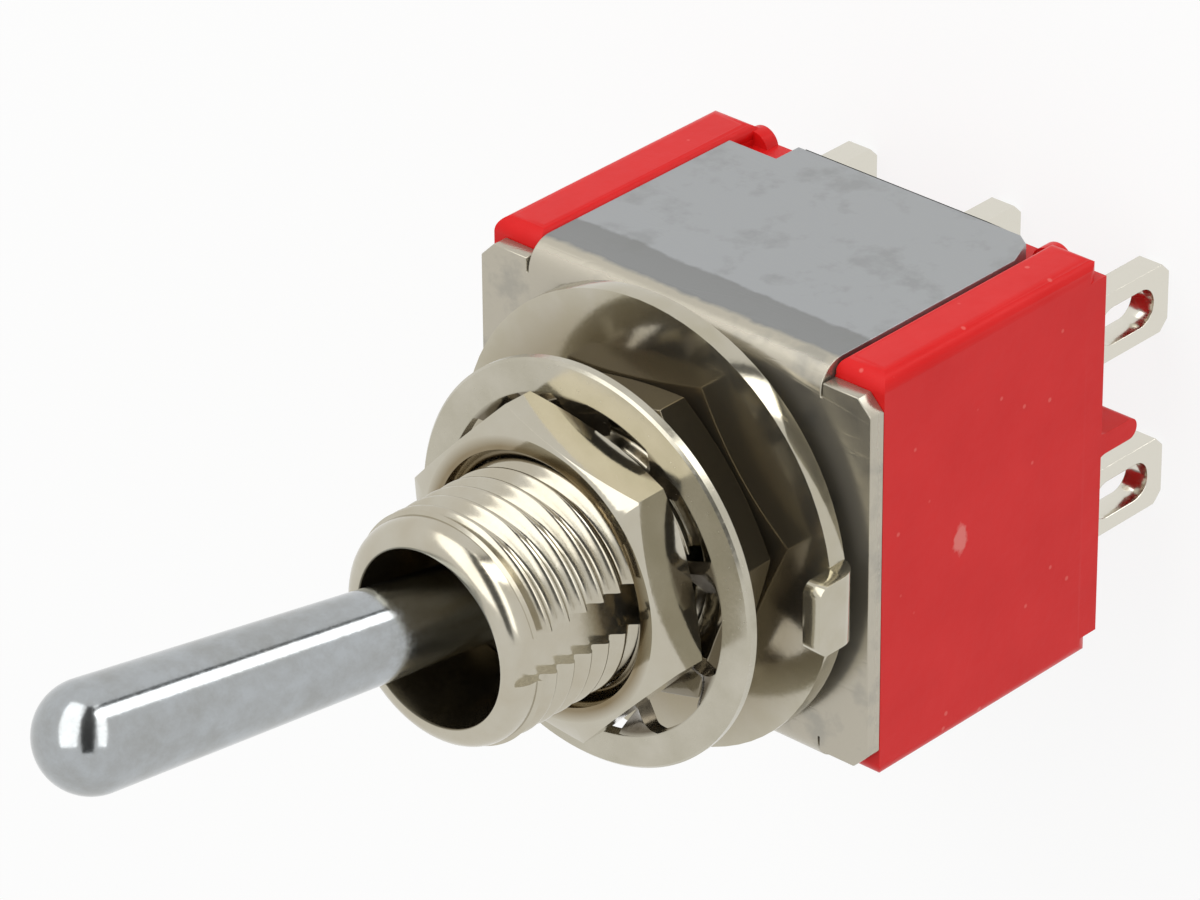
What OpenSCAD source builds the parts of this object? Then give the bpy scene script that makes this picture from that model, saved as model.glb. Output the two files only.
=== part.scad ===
// Miniature panel toggle switch: two poles, two throws, six solder lugs.
//
// Frame: origin on the bushing axis, on the front face of the sheet-metal
// cover. +Z runs along the bushing towards the lever. X is the direction in
// which the lever is thrown, and the two rows of lugs lie at -Y and +Y.
// The lever is drawn thrown to -X, so its lower end stands at +X.

/* [Cover] */
// Length of the cover plate along the throw
plate_x = 13.2; // [12.8:0.1:13.8]
// Width of the plate's end zones, beside the bends
plate_y = 10.7; // [10.3:0.1:11.2]
// Thickness of the cover's sheet
sheet_t = 0.5; // [0.4:0.05:0.6]
// Length of each side flange along the throw
flange_x = 9.9; // [9.5:0.1:10.1]
// Outside radius of the bend between plate and flange
bend_r = 0.8; // [0.7:0.05:1.0]
// Clipped corner of the plate
plate_clip = 0.44; // [0.3:0.02:0.6]
// Width of the relief notch beside each bend
relief_x = 0.06; // [0.04:0.02:0.2]
// Depth at which the long part of a flange ends, behind the plate
flange_depth = 8.7; // [8.4:0.05:8.9]
// How much shorter the flange is at its stepped end
flange_step = 0.9; // [0.5:0.1:1.5]
// Length of the stepped end along the throw
flange_step_x = 1.62; // [1.2:0.05:1.8]
// Length of the slanted cut at the flange's rear corner
flange_cut_z = 1.15; // [0.8:0.05:1.5]
// Depth of that cut, inwards from the flange's end
flange_cut_x = 0.35; // [0.2:0.05:0.5]
// Bevel at the tip of that corner
flange_bevel = 0.4; // [0.2:0.05:0.6]
// Width of a crimp tab
tab_x = 1.6; // [1.2:0.1:1.8]
// Distance between the two crimp tabs of one flange
tab_pitch = 4.5; // [4.0:0.1:4.8]
// How far a crimp tab reaches inwards over the base
tab_reach = 0.7; // [0.5:0.05:1.0]

/* [Case] */
// Depth of the case behind the plate's front face
case_depth = 9.25; // [9.0:0.05:9.8]
// Length of the raised ear at each end of the case
ear_x = 1.6; // [1.4:0.05:1.62]
// Width across the ears
ear_y = 11.7; // [11.5:0.1:12.1]
// Radius of the ears' upright outer edges
ear_r = 0.45; // [0.3:0.05:0.6]
// Radius of their upright inner edges, beside the flanges
ear_inner_r = 0.3; // [0.2:0.05:0.5]
// Radius of the ears' rear corners
ear_rear_r = 0.7; // [0.5:0.05:0.9]
// Radius of the ears' outer rear corners, seen from the side
ear_end_r = 0.8; // [0.4:0.05:1.0]
// Radius of the round bead behind each ear's inner edge
bead_r = 0.5; // [0.3:0.05:0.55]
// Length of that bead
bead_l = 0.45; // [0.3:0.05:0.5]
// Height to which the bead stands above the case's side
bead_rise = 0.4; // [0.2:0.05:0.45]
// Radius of the ears' front corners, down to the edge of the plate
ear_front_r = 0.5; // [0.3:0.05:0.55]
// Thickness of the end walls
end_wall = 1.0; // [0.8:0.05:1.2]
// Thickness of the side walls
side_wall = 0.85; // [0.7:0.05:1.0]
// Bevel along the case's front edges, under the cover's bends
front_bevel = 0.4; // [0.3:0.05:0.5]
// Thickness of the wall between the two poles
divider_t = 0.8; // [0.5:0.1:1.0]
// Height of the rib between the rows of lugs, behind the case
rib_h = 1.85; // [1.4:0.05:2.4]
// Thickness of that rib at its rounded nose
rib_t = 0.6; // [0.5:0.05:0.8]
// Radius of the fillet at the root of the rib
rib_fillet = 0.6; // [0.3:0.05:0.8]
// Setback of the rib's ends from the case's end faces
rib_setback = 0.3; // [0.1:0.05:0.8]

/* [Lugs] */
// Distance between lugs along the throw
lug_pitch = 5.0; // [4.8:0.05:5.1]
// Distance between the two rows of lugs
row_pitch = 5.2; // [4.9:0.05:5.4]
// Thickness of the lug stock
lug_t = 0.76; // [0.6:0.02:0.8]
// Width of a lug
lug_w = 2.0; // [1.8:0.05:2.2]
// Length of a lug outside the case
lug_out = 4.2; // [3.8:0.05:5.0]
// Clipped corner at the lug's tip
lug_clip = 0.3; // [0.1:0.05:0.5]
// Width of the wiring slot in a lug
slot_w = 1.1; // [0.9:0.05:1.3]
// Length of the wiring slot
slot_l = 2.25; // [1.8:0.05:2.5]
// Metal left between the wiring slot and the tip
slot_tip = 0.6; // [0.4:0.05:0.9]

/* [Bushing] */
// Outside radius of the thread
thread_r = 3.175; // [3.1:0.005:3.2]
// Distance between the turns of the thread
thread_pitch = 0.635; // [0.6:0.005:0.7]
// Depth of the thread's grooves
thread_depth = 0.34; // [0.25:0.01:0.36]
// Height of the bushing above the plate
bushing_h = 9.05; // [8.6:0.05:10.0]
// Radius of the shoulder that rests on the plate
shoulder_r = 4.2; // [4.0:0.05:4.4]
// Height of that shoulder
shoulder_h = 0.5; // [0.4:0.05:0.6]
// Radius of the neck that passes through the plate
neck_r = 3.6; // [3.4:0.05:3.7]
// Radius of the rim spread behind the plate
rim_r = 3.9; // [3.8:0.05:4.1]
// Thickness of that rim
rim_t = 0.45; // [0.35:0.05:0.6]
// Height of the unthreaded lip at the front end
lip_h = 0.75; // [0.5:0.05:0.9]
// Outside radius of the lip
lip_r = 3.07; // [2.9:0.01:3.1]
// Radius of the front bore, which limits the throw
front_bore_r = 2.4; // [2.3:0.02:2.5]
// Radius of the throat that keeps the ball in
throat_r = 1.75; // [1.65:0.05:1.9]
// Width of the keyway along the thread
keyway_w = 1.15; // [0.9:0.05:1.3]
// Distance from the axis to the bottom of the keyway
keyway_floor = 2.78; // [2.7:0.02:2.9]
// Turn of the keyway about the axis, from the +X side
keyway_turn = 6; // [0:1:12]

/* [Lever] */
// Height of the pivot above the plate
pivot_z = 4.86; // [4.6:0.02:5.0]
// Throw to each side of upright
throw_deg = 13; // [11:0.5:13.5]
// Distance from the pivot to the centre of the rounded tip
lever_l = 13.22; // [12:0.1:15]
// Radius of the rounded tip
tip_r = 1.47; // [1.3:0.01:1.6]
// Radius of the lever where it enters the ball
root_r = 1.12; // [1.0:0.01:1.2]
// Radius of the pivot ball
ball_r = 2.2; // [2.1:0.02:2.3]
// Distance from the pivot down to the drive ball's centre
drive_l = 7.0; // [6.8:0.05:7.1]
// Radius of the drive ball
drive_r = 0.85; // [0.75:0.01:0.9]
// Radius of the shank beside the drive ball
shank_r = 0.55; // [0.45:0.01:0.6]

/* [Panel hardware] */
// Width of the nuts across their flats
nut_af = 8.0; // [7.8:0.1:8.4]
// Thickness of each nut
nut_t = 1.5; // [1.3:0.05:1.7]
// Slope of the nuts' corner chamfers
nut_chamfer_deg = 22; // [15:1:30]
// Depth of the countersink at each end of a nut's bore
nut_sink = 0.3; // [0.2:0.02:0.4]
// Turn of the rear nut about the axis
rear_nut_turn = 9; // [0:1:59]
// Turn of the front nut about the axis
front_nut_turn = 46; // [0:1:59]
// Outside radius of the locking ring
ring_r = 6.3; // [6.1:0.05:6.6]
// Thickness of the locking ring
ring_t = 0.57; // [0.5:0.01:0.65]
// Width of the locking ring's bent tab
ring_tab_w = 2.0; // [1.6:0.1:2.4]
// Height to which that tab stands above the plate
ring_tab_top = 2.1; // [1.8:0.1:2.6]
// Reach of the tab's outer face from the axis
ring_tab_x = 6.8; // [6.7:0.05:7.2]
// Outside radius of the lock washer
washer_r = 5.6; // [5.2:0.1:6.0]
// Inside radius of the lock washer's flat rim
washer_rim_r = 4.7; // [4.5:0.05:4.9]
// Thickness of the lock washer
washer_t = 0.36; // [0.3:0.01:0.45]
// Number of the lock washer's inner teeth
washer_teeth = 9; // [8:1:12]
// Turn of the lock washer about the axis
washer_turn = 19; // [0:1:39]
// Play taken up by the loose lock washer along X
washer_shift_x = 0.16; // [-0.18:0.01:0.18]
// Play taken up by the loose lock washer along Y
washer_shift_y = -0.19; // [-0.2:0.01:0.2]
// Twist of each tooth about its front edge
tooth_twist = 40; // [30:1:45]
// Width of a tooth
tooth_w = 1.02; // [0.9:0.02:1.2]

/* [Contacts] */
// Half length of a rocking contact
rocker_arm = 4.7; // [4.5:0.05:4.9]
// Width of a rocking contact
rocker_w = 1.8; // [1.4:0.1:1.9]
// Thickness of a rocking contact
rocker_t = 0.4; // [0.3:0.02:0.5]
// Tilt of a rocking contact to each side of level
rocker_tilt = 7; // [6:0.5:8]
// Depth of a rocking contact's pivot behind the plate
rocker_pivot = 6.43; // [6.3:0.01:6.5]
// Radius of a contact button
button_r = 0.5; // [0.4:0.05:0.6]
// Height of a contact button
button_h = 0.12; // [0.08:0.01:0.15]
// Distance of a button from the rocking contact's pivot
button_x = 4.15; // [4.0:0.05:4.3]
// Thickness of the cheeks that keep a rocking contact on its cradle
cheek_t = 0.3; // [0.2:0.05:0.35]
// Length of a fixed contact's pad along the throw
pad_x = 1.8; // [1.4:0.05:2.0]

/* [Carriage] */
// Length of the carriage along the throw
carriage_x = 7.4; // [6.6:0.1:7.6]
// Depth of the carriage's lower face behind the plate
carriage_low = 4.0; // [3.8:0.05:4.2]
// Radius of a plunger
plunger_r = 0.85; // [0.75:0.01:0.9]
// Length of a plunger
plunger_l = 2.55; // [2.3:0.05:2.7]
// Solid roof left above a plunger's pocket
pocket_roof = 0.5; // [0.35:0.05:0.6]
// Radius of the spring's wire
wire_r = 0.1; // [0.08:0.01:0.12]
// Turns in a plunger's spring
spring_turns = 4; // [3:1:5]

/* [Fits] */
// Gap between the cover's flanges and the case
cover_fit = 0.05; // [0.02:0.01:0.1]
// Gap round a lug in its slot through the base
lug_fit = 0.02; // [0.01:0.01:0.05]
// Gap between the thread and what is fitted over it
thread_fit = 0.03; // [0.02:0.01:0.06]
// Running gap of balls, plungers and saddles
run_fit = 0.05; // [0.03:0.01:0.08]
// Gap between the carriage and the walls that guide it
carriage_fit = 0.1; // [0.06:0.02:0.16]
// Gap between a rocking contact and what it almost touches
contact_gap = 0.04; // [0.03:0.01:0.06]
// Gap left at each end of a spring
spring_fit = 0.02; // [0.01:0.01:0.05]

/* [Hidden] */

$fn = 64;
e = 0.01;                       // overlap that keeps a cut clear of a face

// Cover and case
bend_inner_r = bend_r - sheet_t;
body_x = plate_x;
body_y = ear_y - 2 * (sheet_t + cover_fit) - 0.1;
flange_y = body_y + 2 * (cover_fit + sheet_t);
tab_depth = flange_depth + 0.35;
tab_seat = tab_depth - sheet_t;
cavity_x = body_x - 2 * end_wall;
cavity_y = body_y - 2 * side_wall;

// Rocking contacts: the saddle's bore rides on the cradle's rounded edge
cradle_r = lug_t / 2;
saddle_r = cradle_r + run_fit;
crest_z = -rocker_pivot + saddle_r + rocker_t;
button_low = saddle_r - button_h;
pad_top = -rocker_pivot + button_low * cos(rocker_tilt)
          - (button_x + button_r) * sin(rocker_tilt) - contact_gap;
floor_z = pad_top - button_h - lug_t;

// Lever and carriage
drive_reach = drive_l * sin(throw_deg);
carriage_y = cavity_y - 2 * carriage_fit;
carriage_top = -sheet_t - rim_t - carriage_fit;
pocket_r = plunger_r + run_fit;
pocket_top = carriage_top - pocket_roof;
plunger_tip = crest_z + contact_gap;
plunger_top = plunger_tip + plunger_l;
spring_h = pocket_top - plunger_top - 2 * spring_fit;
spring_r = plunger_r - wire_r - run_fit;
divider_top = -carriage_low - 2 * carriage_fit;

// Panel hardware, stacked from the shoulder outwards
ring_z = shoulder_h;
rear_nut_z = ring_z + ring_t + thread_fit;
tooth_drop = tooth_w * sin(tooth_twist) + washer_t / 2 * cos(tooth_twist);
washer_z = rear_nut_z + nut_t + tooth_drop;
front_nut_z = washer_z + washer_t / 2 + thread_fit;

module frame_cover() {
    color("gainsboro") {
        difference() {
            linear_extrude_z(-sheet_t, 0) plate_outline();
            cut_cylinder(neck_r, -sheet_t, 0);
        }
        for (turn = [0, 180]) rotate([0, 0, turn]) flange();
    }
}

// Plate with clipped corners and relief notches, as wide as the bends' start
module plate_outline() {
    half_x = plate_x / 2;
    half_y = plate_y / 2;
    fold_y = flange_y / 2 - bend_r;
    intersection() {
        union() {
            square([flange_x, 2 * fold_y], center = true);
            for (side = [-1, 1])
                translate([side * (half_x + flange_x / 2 + relief_x) / 2, 0])
                    square([half_x - flange_x / 2 - relief_x, plate_y], center = true);
            square([plate_x, 2 * (fold_y - relief_x)], center = true);
        }
        polygon([for (c = [[1, 1], [-1, 1], [-1, -1], [1, -1]], k = [0, 1])
            let (first = c[0] * c[1] > 0 ? k == 0 : k == 1)
            [c[0] * (half_x - (first ? 0 : plate_clip)),
             c[1] * (half_y - (first ? plate_clip : 0))]]);
    }
}

// The flange on the +Y side: bend, flat wall with a stepped rear edge, tabs
module flange() {
    outer_y = flange_y / 2;
    fold_y = outer_y - bend_r;
    rotate([90, 0, 90])
        translate([0, 0, -flange_x / 2])
            linear_extrude(flange_x)
                translate([fold_y, -bend_r])
                    intersection() {
                        difference() {
                            circle(bend_r);
                            circle(bend_inner_r);
                        }
                        square(bend_r + e);
                    }
    translate([0, outer_y, 0])
        rotate([90, 0, 0])
            linear_extrude(sheet_t) flange_outline();
    for (x = tab_places()) crimp_tab(x);
}

function tab_places() = [-1, 1] * tab_pitch / 2;

// Wall of the flange, drawn in X and Z
module flange_outline() {
    half = flange_x / 2;
    deep = -flange_depth;
    shallow = deep + flange_step;
    step_x = -half + flange_step_x;
    tip_x = half - flange_cut_x;
    polygon([[-half, -bend_r], [-half, shallow], [step_x, shallow], [step_x, deep],
             [tip_x - flange_bevel, deep], [tip_x, deep + flange_bevel * 2 / 3],
             [half, deep + flange_cut_z], [half, -bend_r]]);
}

// A tab that is folded over the base's rear edge, centred on x
module crimp_tab(x) {
    outer_y = flange_y / 2;
    translate([x - tab_x / 2, 0, 0])
        rotate([90, 0, 90])
            linear_extrude(tab_x)
                union() {
                    translate([outer_y - sheet_t, -tab_depth + sheet_t])
                        square([sheet_t, tab_depth - sheet_t - flange_depth + sheet_t]);
                    translate([outer_y - sheet_t, -tab_depth + sheet_t])
                        intersection() {
                            circle(sheet_t);
                            translate([0, -sheet_t]) square(sheet_t);
                        }
                    translate([outer_y - sheet_t - tab_reach, -tab_depth])
                        square([tab_reach, sheet_t]);
                }
}

module case() {
    color("firebrick") {
        difference() {
            union() {
                case_body();
                case_ears();
                divider_rib();
            }
            difference() {
                linear_extrude_z(floor_z, -sheet_t + e)
                    square([cavity_x, cavity_y], center = true);
                linear_extrude_z(floor_z - e, divider_top)
                    square([cavity_x + e, divider_t], center = true);
            }
            for (x = [-1, 0, 1], y = [-1, 1])
                translate([x * lug_pitch, y * row_pitch / 2, 0])
                    linear_extrude_z(-case_depth - e, floor_z + e)
                        square([lug_t, lug_w] + [2, 2] * lug_fit, center = true);
            for (turn = [0, 180], x = tab_places())
                rotate([0, 0, turn]) tab_notch(x);
        }
    }
}

// Main box of the case, bevelled under the cover's bends
module case_body() {
    half = body_y / 2;
    rotate([90, 0, 90])
        translate([0, 0, -body_x / 2 + e])
            linear_extrude(body_x - 2 * e)
                polygon([[-half, -case_depth], [half, -case_depth],
                         [half, -sheet_t - front_bevel], [half - front_bevel, -sheet_t],
                         [-half + front_bevel, -sheet_t], [-half, -sheet_t - front_bevel]]);
}

// The two raised ears, with rounded edges along Z and at both ends
module case_ears() {
    for (x = [-1, 1], y = [-1, 1])
        translate([x * (body_x / 2 - ear_x), y * (body_y / 2 + bead_rise - bead_r), 0])
            linear_extrude_z(-case_depth, -case_depth + bead_l) circle(bead_r);
    for (side = [-1, 1])
        intersection() {
            translate([side * (body_x - ear_x) / 2, 0, 0])
                linear_extrude_z(-case_depth, -sheet_t)
                    ear_outline(side);
            rotate([90, 0, 90])
                translate([0, 0, -body_x / 2 - e])
                    linear_extrude(body_x + 2 * e)
                        ear_section();
            rotate([90, 0, 0])
                translate([0, 0, -ear_y / 2 - e])
                    linear_extrude(ear_y + 2 * e)
                        ear_profile();
        }
}

// Both ears seen along Y, with their outer rear corners rounded
module ear_profile() {
    half = body_x / 2;
    low = -case_depth + ear_end_r;
    union() {
        translate([-half, low]) square([body_x, case_depth]);
        translate([-half + ear_end_r, -case_depth])
            square([body_x - 2 * ear_end_r, case_depth]);
        for (side = [-1, 1])
            translate([side * (half - ear_end_r), low]) circle(ear_end_r);
    }
}

// An ear seen along X, with its rear and front corners rounded
module ear_section() {
    half = ear_y / 2;
    low = -case_depth + ear_rear_r;
    high = -sheet_t - ear_front_r;
    rear_half = half - ear_rear_r;
    front_half = half - ear_front_r;
    union() {
        translate([-half, low]) square([ear_y, high - low]);
        translate([-rear_half, -case_depth]) square([2 * rear_half, case_depth / 2]);
        translate([-front_half, -case_depth / 2])
            square([2 * front_half, case_depth / 2 - sheet_t]);
        for (side = [-1, 1]) {
            translate([side * rear_half, low]) circle(ear_rear_r);
            translate([side * front_half, high]) circle(ear_front_r);
        }
    }
}

// An ear seen along Z, with its outer and inner corners rounded
module ear_outline(side) {
    union() {
        square([ear_x, ear_y - 2 * ear_r], center = true);
        translate([side * (ear_inner_r - ear_r) / 2, 0])
            square([ear_x - ear_r - ear_inner_r, ear_y], center = true);
        for (y = [-1, 1]) {
            translate([side * (ear_x / 2 - ear_r), y * (ear_y / 2 - ear_r)])
                circle(ear_r);
            translate([side * (ear_inner_r - ear_x / 2), y * (ear_y / 2 - ear_inner_r)])
                circle(ear_inner_r);
        }
    }
}

// Rib between the rows of lugs: round nose, concave fillets at its root
module divider_rib() {
    length = body_x - 2 * rib_setback;
    root = -case_depth;
    nose = rib_t / 2;
    rotate([90, 0, 90])
        translate([0, 0, -length / 2])
            linear_extrude(length)
                union() {
                    translate([0, root - rib_h + nose]) circle(nose);
                    translate([-nose, root - rib_h + nose])
                        square([rib_t, rib_h - nose + e]);
                    difference() {
                        translate([-nose - rib_fillet, root - rib_fillet])
                            square([rib_t + 2 * rib_fillet, rib_fillet + e]);
                        for (y = [-1, 1])
                            translate([y * (nose + rib_fillet), root - rib_fillet])
                                circle(rib_fillet);
                    }
                }
}

// Notch in the base's rear edge that takes a crimp tab
module tab_notch(x) {
    inner_y = flange_y / 2 - sheet_t - tab_reach - cover_fit;
    translate([x - tab_x / 2 - cover_fit, inner_y, -case_depth - e])
        cube([tab_x + 2 * cover_fit, body_y, case_depth - tab_seat + e]);
}

module bushing() {
    color("silver")
        difference() {
            union() {
                ring_solid(neck_r, -sheet_t, 0);
                ring_solid(rim_r, -sheet_t - rim_t, -sheet_t);
                ring_solid(shoulder_r, 0, shoulder_h);
                rotate_extrude() thread_outline();
                rotate_extrude() lip_outline();
            }
            bushing_bore();
            rotate([0, 0, keyway_turn])
                translate([keyway_floor, -keyway_w / 2, shoulder_h])
                    cube([thread_r, keyway_w, bushing_h]);
        }
}

// Half section of the thread, whose turns are drawn as level rings
module thread_outline() {
    top = bushing_h - lip_h;
    turns = floor((top - shoulder_h) / thread_pitch);
    flat = thread_pitch / 8;
    root = thread_r - thread_depth;
    difference() {
        square([thread_r, top]);
        for (i = [0 : turns - 1])
            translate([root, top - (i + 0.5) * thread_pitch])
                polygon([[0, -flat], [thread_depth + e, flat - thread_pitch / 2],
                         [thread_depth + e, thread_pitch / 2 - flat], [0, flat]]);
    }
}

// Half section of the unthreaded lip, rounded towards the front bore
module lip_outline() {
    round_r = lip_h * 0.75;
    union() {
        translate([0, bushing_h - lip_h - e]) square([lip_r, lip_h - round_r + e]);
        translate([0, bushing_h - lip_h]) square([lip_r - round_r, lip_h]);
        translate([lip_r - round_r, bushing_h - round_r]) circle(round_r);
    }
}

// Front bore, throat and ball seat, and the bore that the shank swings in
module bushing_bore() {
    seat_r = ball_r + run_fit;
    throat_z = pivot_z + sqrt(seat_r * seat_r - throat_r * throat_r);
    cone_h = front_bore_r - throat_r;
    cut_cylinder(seat_r, -sheet_t - rim_t, pivot_z);
    translate([0, 0, pivot_z]) sphere(seat_r);
    translate([0, 0, throat_z - e]) cylinder(h = 2 * e, r = throat_r);
    translate([0, 0, throat_z]) cylinder(h = cone_h, r1 = throat_r, r2 = front_bore_r);
    cut_cylinder(front_bore_r, throat_z + cone_h, bushing_h);
}

module lever() {
    neck_z = sqrt(ball_r * ball_r - root_r * root_r);
    color("lightsteelblue")
        translate([0, 0, pivot_z])
            rotate([0, -throw_deg, 0]) {
                sphere(ball_r);
                translate([0, 0, neck_z - e])
                    cylinder(h = lever_l - neck_z + e, r1 = root_r, r2 = tip_r);
                translate([0, 0, lever_l]) sphere(tip_r);
                translate([0, 0, -drive_l])
                    cylinder(h = drive_l, r1 = shank_r, r2 = 2 * shank_r);
                translate([0, 0, -drive_l]) sphere(drive_r);
            }
}

// Block that the lever's lower end pushes along X, with a pocket per plunger
module carriage() {
    slot_x = 2 * (drive_r + run_fit);
    slot_y = slot_x + 0.6;
    slot_floor = pivot_z - drive_l - drive_r - run_fit;
    color("ivory")
        translate([drive_reach, 0, 0])
            difference() {
                linear_extrude_z(-carriage_low, carriage_top)
                    square([carriage_x, carriage_y], center = true);
                linear_extrude_z(slot_floor, carriage_top + e)
                    square([slot_x, slot_y], center = true);
                for (y = [-1, 1])
                    translate([0, y * row_pitch / 2, 0])
                        cut_cylinder(pocket_r, -carriage_low, pocket_top, false);
            }
}

module plunger(row) {
    color("goldenrod")
        translate([drive_reach, row * row_pitch / 2, 0]) {
            translate([0, 0, plunger_tip + plunger_r]) sphere(plunger_r);
            linear_extrude_z(plunger_tip + plunger_r, plunger_top) circle(plunger_r);
        }
}

// Helical spring between the pocket's roof and the plunger
module spring(row) {
    sides = 8;
    steps = 16 * spring_turns;
    path_h = spring_h - 2 * wire_r;
    points = [for (i = [0 : steps], j = [0 : sides - 1])
        let (a = 360 * spring_turns * i / steps, b = 360 * j / sides,
             r = spring_r + wire_r * cos(b))
        [r * cos(a), r * sin(a), wire_r + path_h * i / steps + wire_r * sin(b)]];
    skin = [for (i = [0 : steps - 1], j = [0 : sides - 1])
        let (k = (j + 1) % sides)
        [i * sides + j, (i + 1) * sides + j, (i + 1) * sides + k, i * sides + k]];
    ends = [[for (j = [0 : sides - 1]) j],
            [for (j = [sides - 1 : -1 : 0]) steps * sides + j]];
    color("silver")
        translate([drive_reach, row * row_pitch / 2, plunger_top + spring_fit])
            polyhedron(points, concat(skin, ends));
}

// Contact strip with a pressed saddle in the middle, drawn tilted to +X
module rocker(row) {
    color("peru")
        translate([0, row * row_pitch / 2, -rocker_pivot])
            rotate([0, rocker_tilt, 0]) {
                rotate([90, 0, 0])
                    translate([0, 0, -rocker_w / 2])
                        linear_extrude(rocker_w)
                            difference() {
                                union() {
                                    translate([-rocker_arm, saddle_r])
                                        square([2 * rocker_arm, rocker_t]);
                                    circle(saddle_r + rocker_t);
                                }
                                circle(saddle_r);
                                translate([-rocker_arm, -2 * rocker_arm])
                                    square(2 * rocker_arm);
                            }
                for (side = [-1, 1])
                    translate([side * button_x, 0, button_low])
                        cylinder(h = button_h + e, r = button_r);
            }
}

// Blade of a lug, from the case's floor to its clipped and slotted tip
module lug_blade() {
    tip = -case_depth - lug_out;
    half = lug_w / 2;
    slot_low = tip + slot_tip + slot_w / 2;
    slot_high = slot_low + slot_l - slot_w;
    rotate([90, 0, 90])
        translate([0, 0, -lug_t / 2])
            linear_extrude(lug_t)
                difference() {
                    polygon([[-half, floor_z], [-half, tip + lug_clip],
                             [-half + lug_clip, tip], [half - lug_clip, tip],
                             [half, tip + lug_clip], [half, floor_z]]);
                    for (z = [slot_low, slot_high]) translate([0, z]) circle(slot_w / 2);
                    translate([-slot_w / 2, slot_low]) square([slot_w, slot_high - slot_low]);
                }
}

// End lug with its contact pad bent over the floor towards the middle
module end_lug(row, side) {
    pad_w = lug_w + 2 * cheek_t;
    color("lightgray")
        translate([side * lug_pitch, row * row_pitch / 2, 0]) {
            lug_blade();
            linear_extrude_z(floor_z, floor_z + lug_t)
                translate([-side * (pad_x - lug_t) / 2, 0])
                    square([pad_x, pad_w], center = true);
            translate([-side * (lug_pitch - button_x), 0, floor_z + lug_t - e])
                cylinder(h = button_h + e, r = button_r);
        }
}

// Middle lug: its head is the cradle on which the contact rocks
module middle_lug(row) {
    cheek_in = rocker_w / 2 + run_fit;
    head_w = 2 * (cheek_in + cheek_t);
    color("lightgray")
        translate([0, row * row_pitch / 2, 0]) {
            lug_blade();
            linear_extrude_z(floor_z, -rocker_pivot)
                square([lug_t, head_w], center = true);
            rotate([90, 0, 0])
                translate([0, -rocker_pivot, -head_w / 2])
                    cylinder(h = head_w, r = cradle_r);
            for (side = [-1, 1])
                translate([-lug_t / 2, side * (cheek_in + cheek_t / 2) - cheek_t / 2,
                           -rocker_pivot])
                    cube([lug_t, cheek_t, saddle_r + rocker_t]);
        }
}

// Ring with a key in the keyway and a tab that stops it turning in the panel
module locking_ring() {
    hole_r = thread_r + thread_fit;
    inner_bend = ring_t / 4;
    color("silver") {
        difference() {
            linear_extrude_z(ring_z, ring_z + ring_t) circle(ring_r);
            cut_cylinder(hole_r, ring_z, ring_z + ring_t);
        }
        rotate([0, 0, keyway_turn])
            translate([keyway_floor + thread_fit, -keyway_w / 2 + thread_fit, ring_z])
                cube([hole_r - keyway_floor, keyway_w - 2 * thread_fit, ring_t]);
        intersection() {
            rotate([90, 0, 0])
                translate([0, 0, -ring_tab_w / 2])
                    linear_extrude(ring_tab_w) ring_tab_section(inner_bend);
            ring_tab_face();
        }
    }
}

// Section of the tab in X and Z: flat, bend and upright leg
module ring_tab_section(inner_bend) {
    outer_bend = inner_bend + ring_t;
    bend_x = ring_tab_x - outer_bend;
    start_x = ring_r * 0.75;
    union() {
        translate([start_x, ring_z]) square([bend_x - start_x, ring_t]);
        translate([bend_x, ring_z + outer_bend])
            intersection() {
                difference() {
                    circle(outer_bend);
                    circle(inner_bend);
                }
                translate([0, -outer_bend]) square(outer_bend);
            }
        translate([ring_tab_x - ring_t, ring_z + outer_bend])
            square([ring_t, ring_tab_top - ring_z - outer_bend]);
    }
}

// Face of the tab in Y and Z, with its two free corners rounded
module ring_tab_face() {
    r = ring_tab_w / 6;
    half = ring_tab_w / 2;
    rotate([90, 0, 90])
        linear_extrude(ring_tab_x + e)
            union() {
                translate([-half, 0]) square([ring_tab_w, ring_tab_top - r]);
                translate([-half + r, 0]) square([ring_tab_w - 2 * r, ring_tab_top]);
                for (y = [-1, 1])
                    translate([y * (half - r), ring_tab_top - r]) circle(r);
            }
}

// Hexagon nut, chamfered at both ends, with a countersunk bore
module nut(z, turn) {
    corner_r = nut_af / 2 / cos(30);
    chamfer_in = nut_af / 2 - 0.1;
    chamfer_h = (corner_r - chamfer_in) * tan(nut_chamfer_deg);
    bore_r = thread_r + thread_fit;
    color("silver")
        translate([0, 0, z])
            difference() {
                intersection() {
                    rotate([0, 0, turn]) cylinder(h = nut_t, r = corner_r, $fn = 6);
                    rotate_extrude()
                        polygon([[0, 0], [chamfer_in, 0], [corner_r, chamfer_h],
                                 [corner_r, nut_t - chamfer_h], [chamfer_in, nut_t],
                                 [0, nut_t]]);
                }
                cut_cylinder(bore_r, 0, nut_t);
                translate([0, 0, -e])
                    cylinder(h = nut_sink + e, r1 = bore_r + nut_sink + e, r2 = bore_r);
                translate([0, 0, nut_t - nut_sink])
                    cylinder(h = nut_sink + e, r1 = bore_r, r2 = bore_r + nut_sink + e);
            }
}

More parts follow.
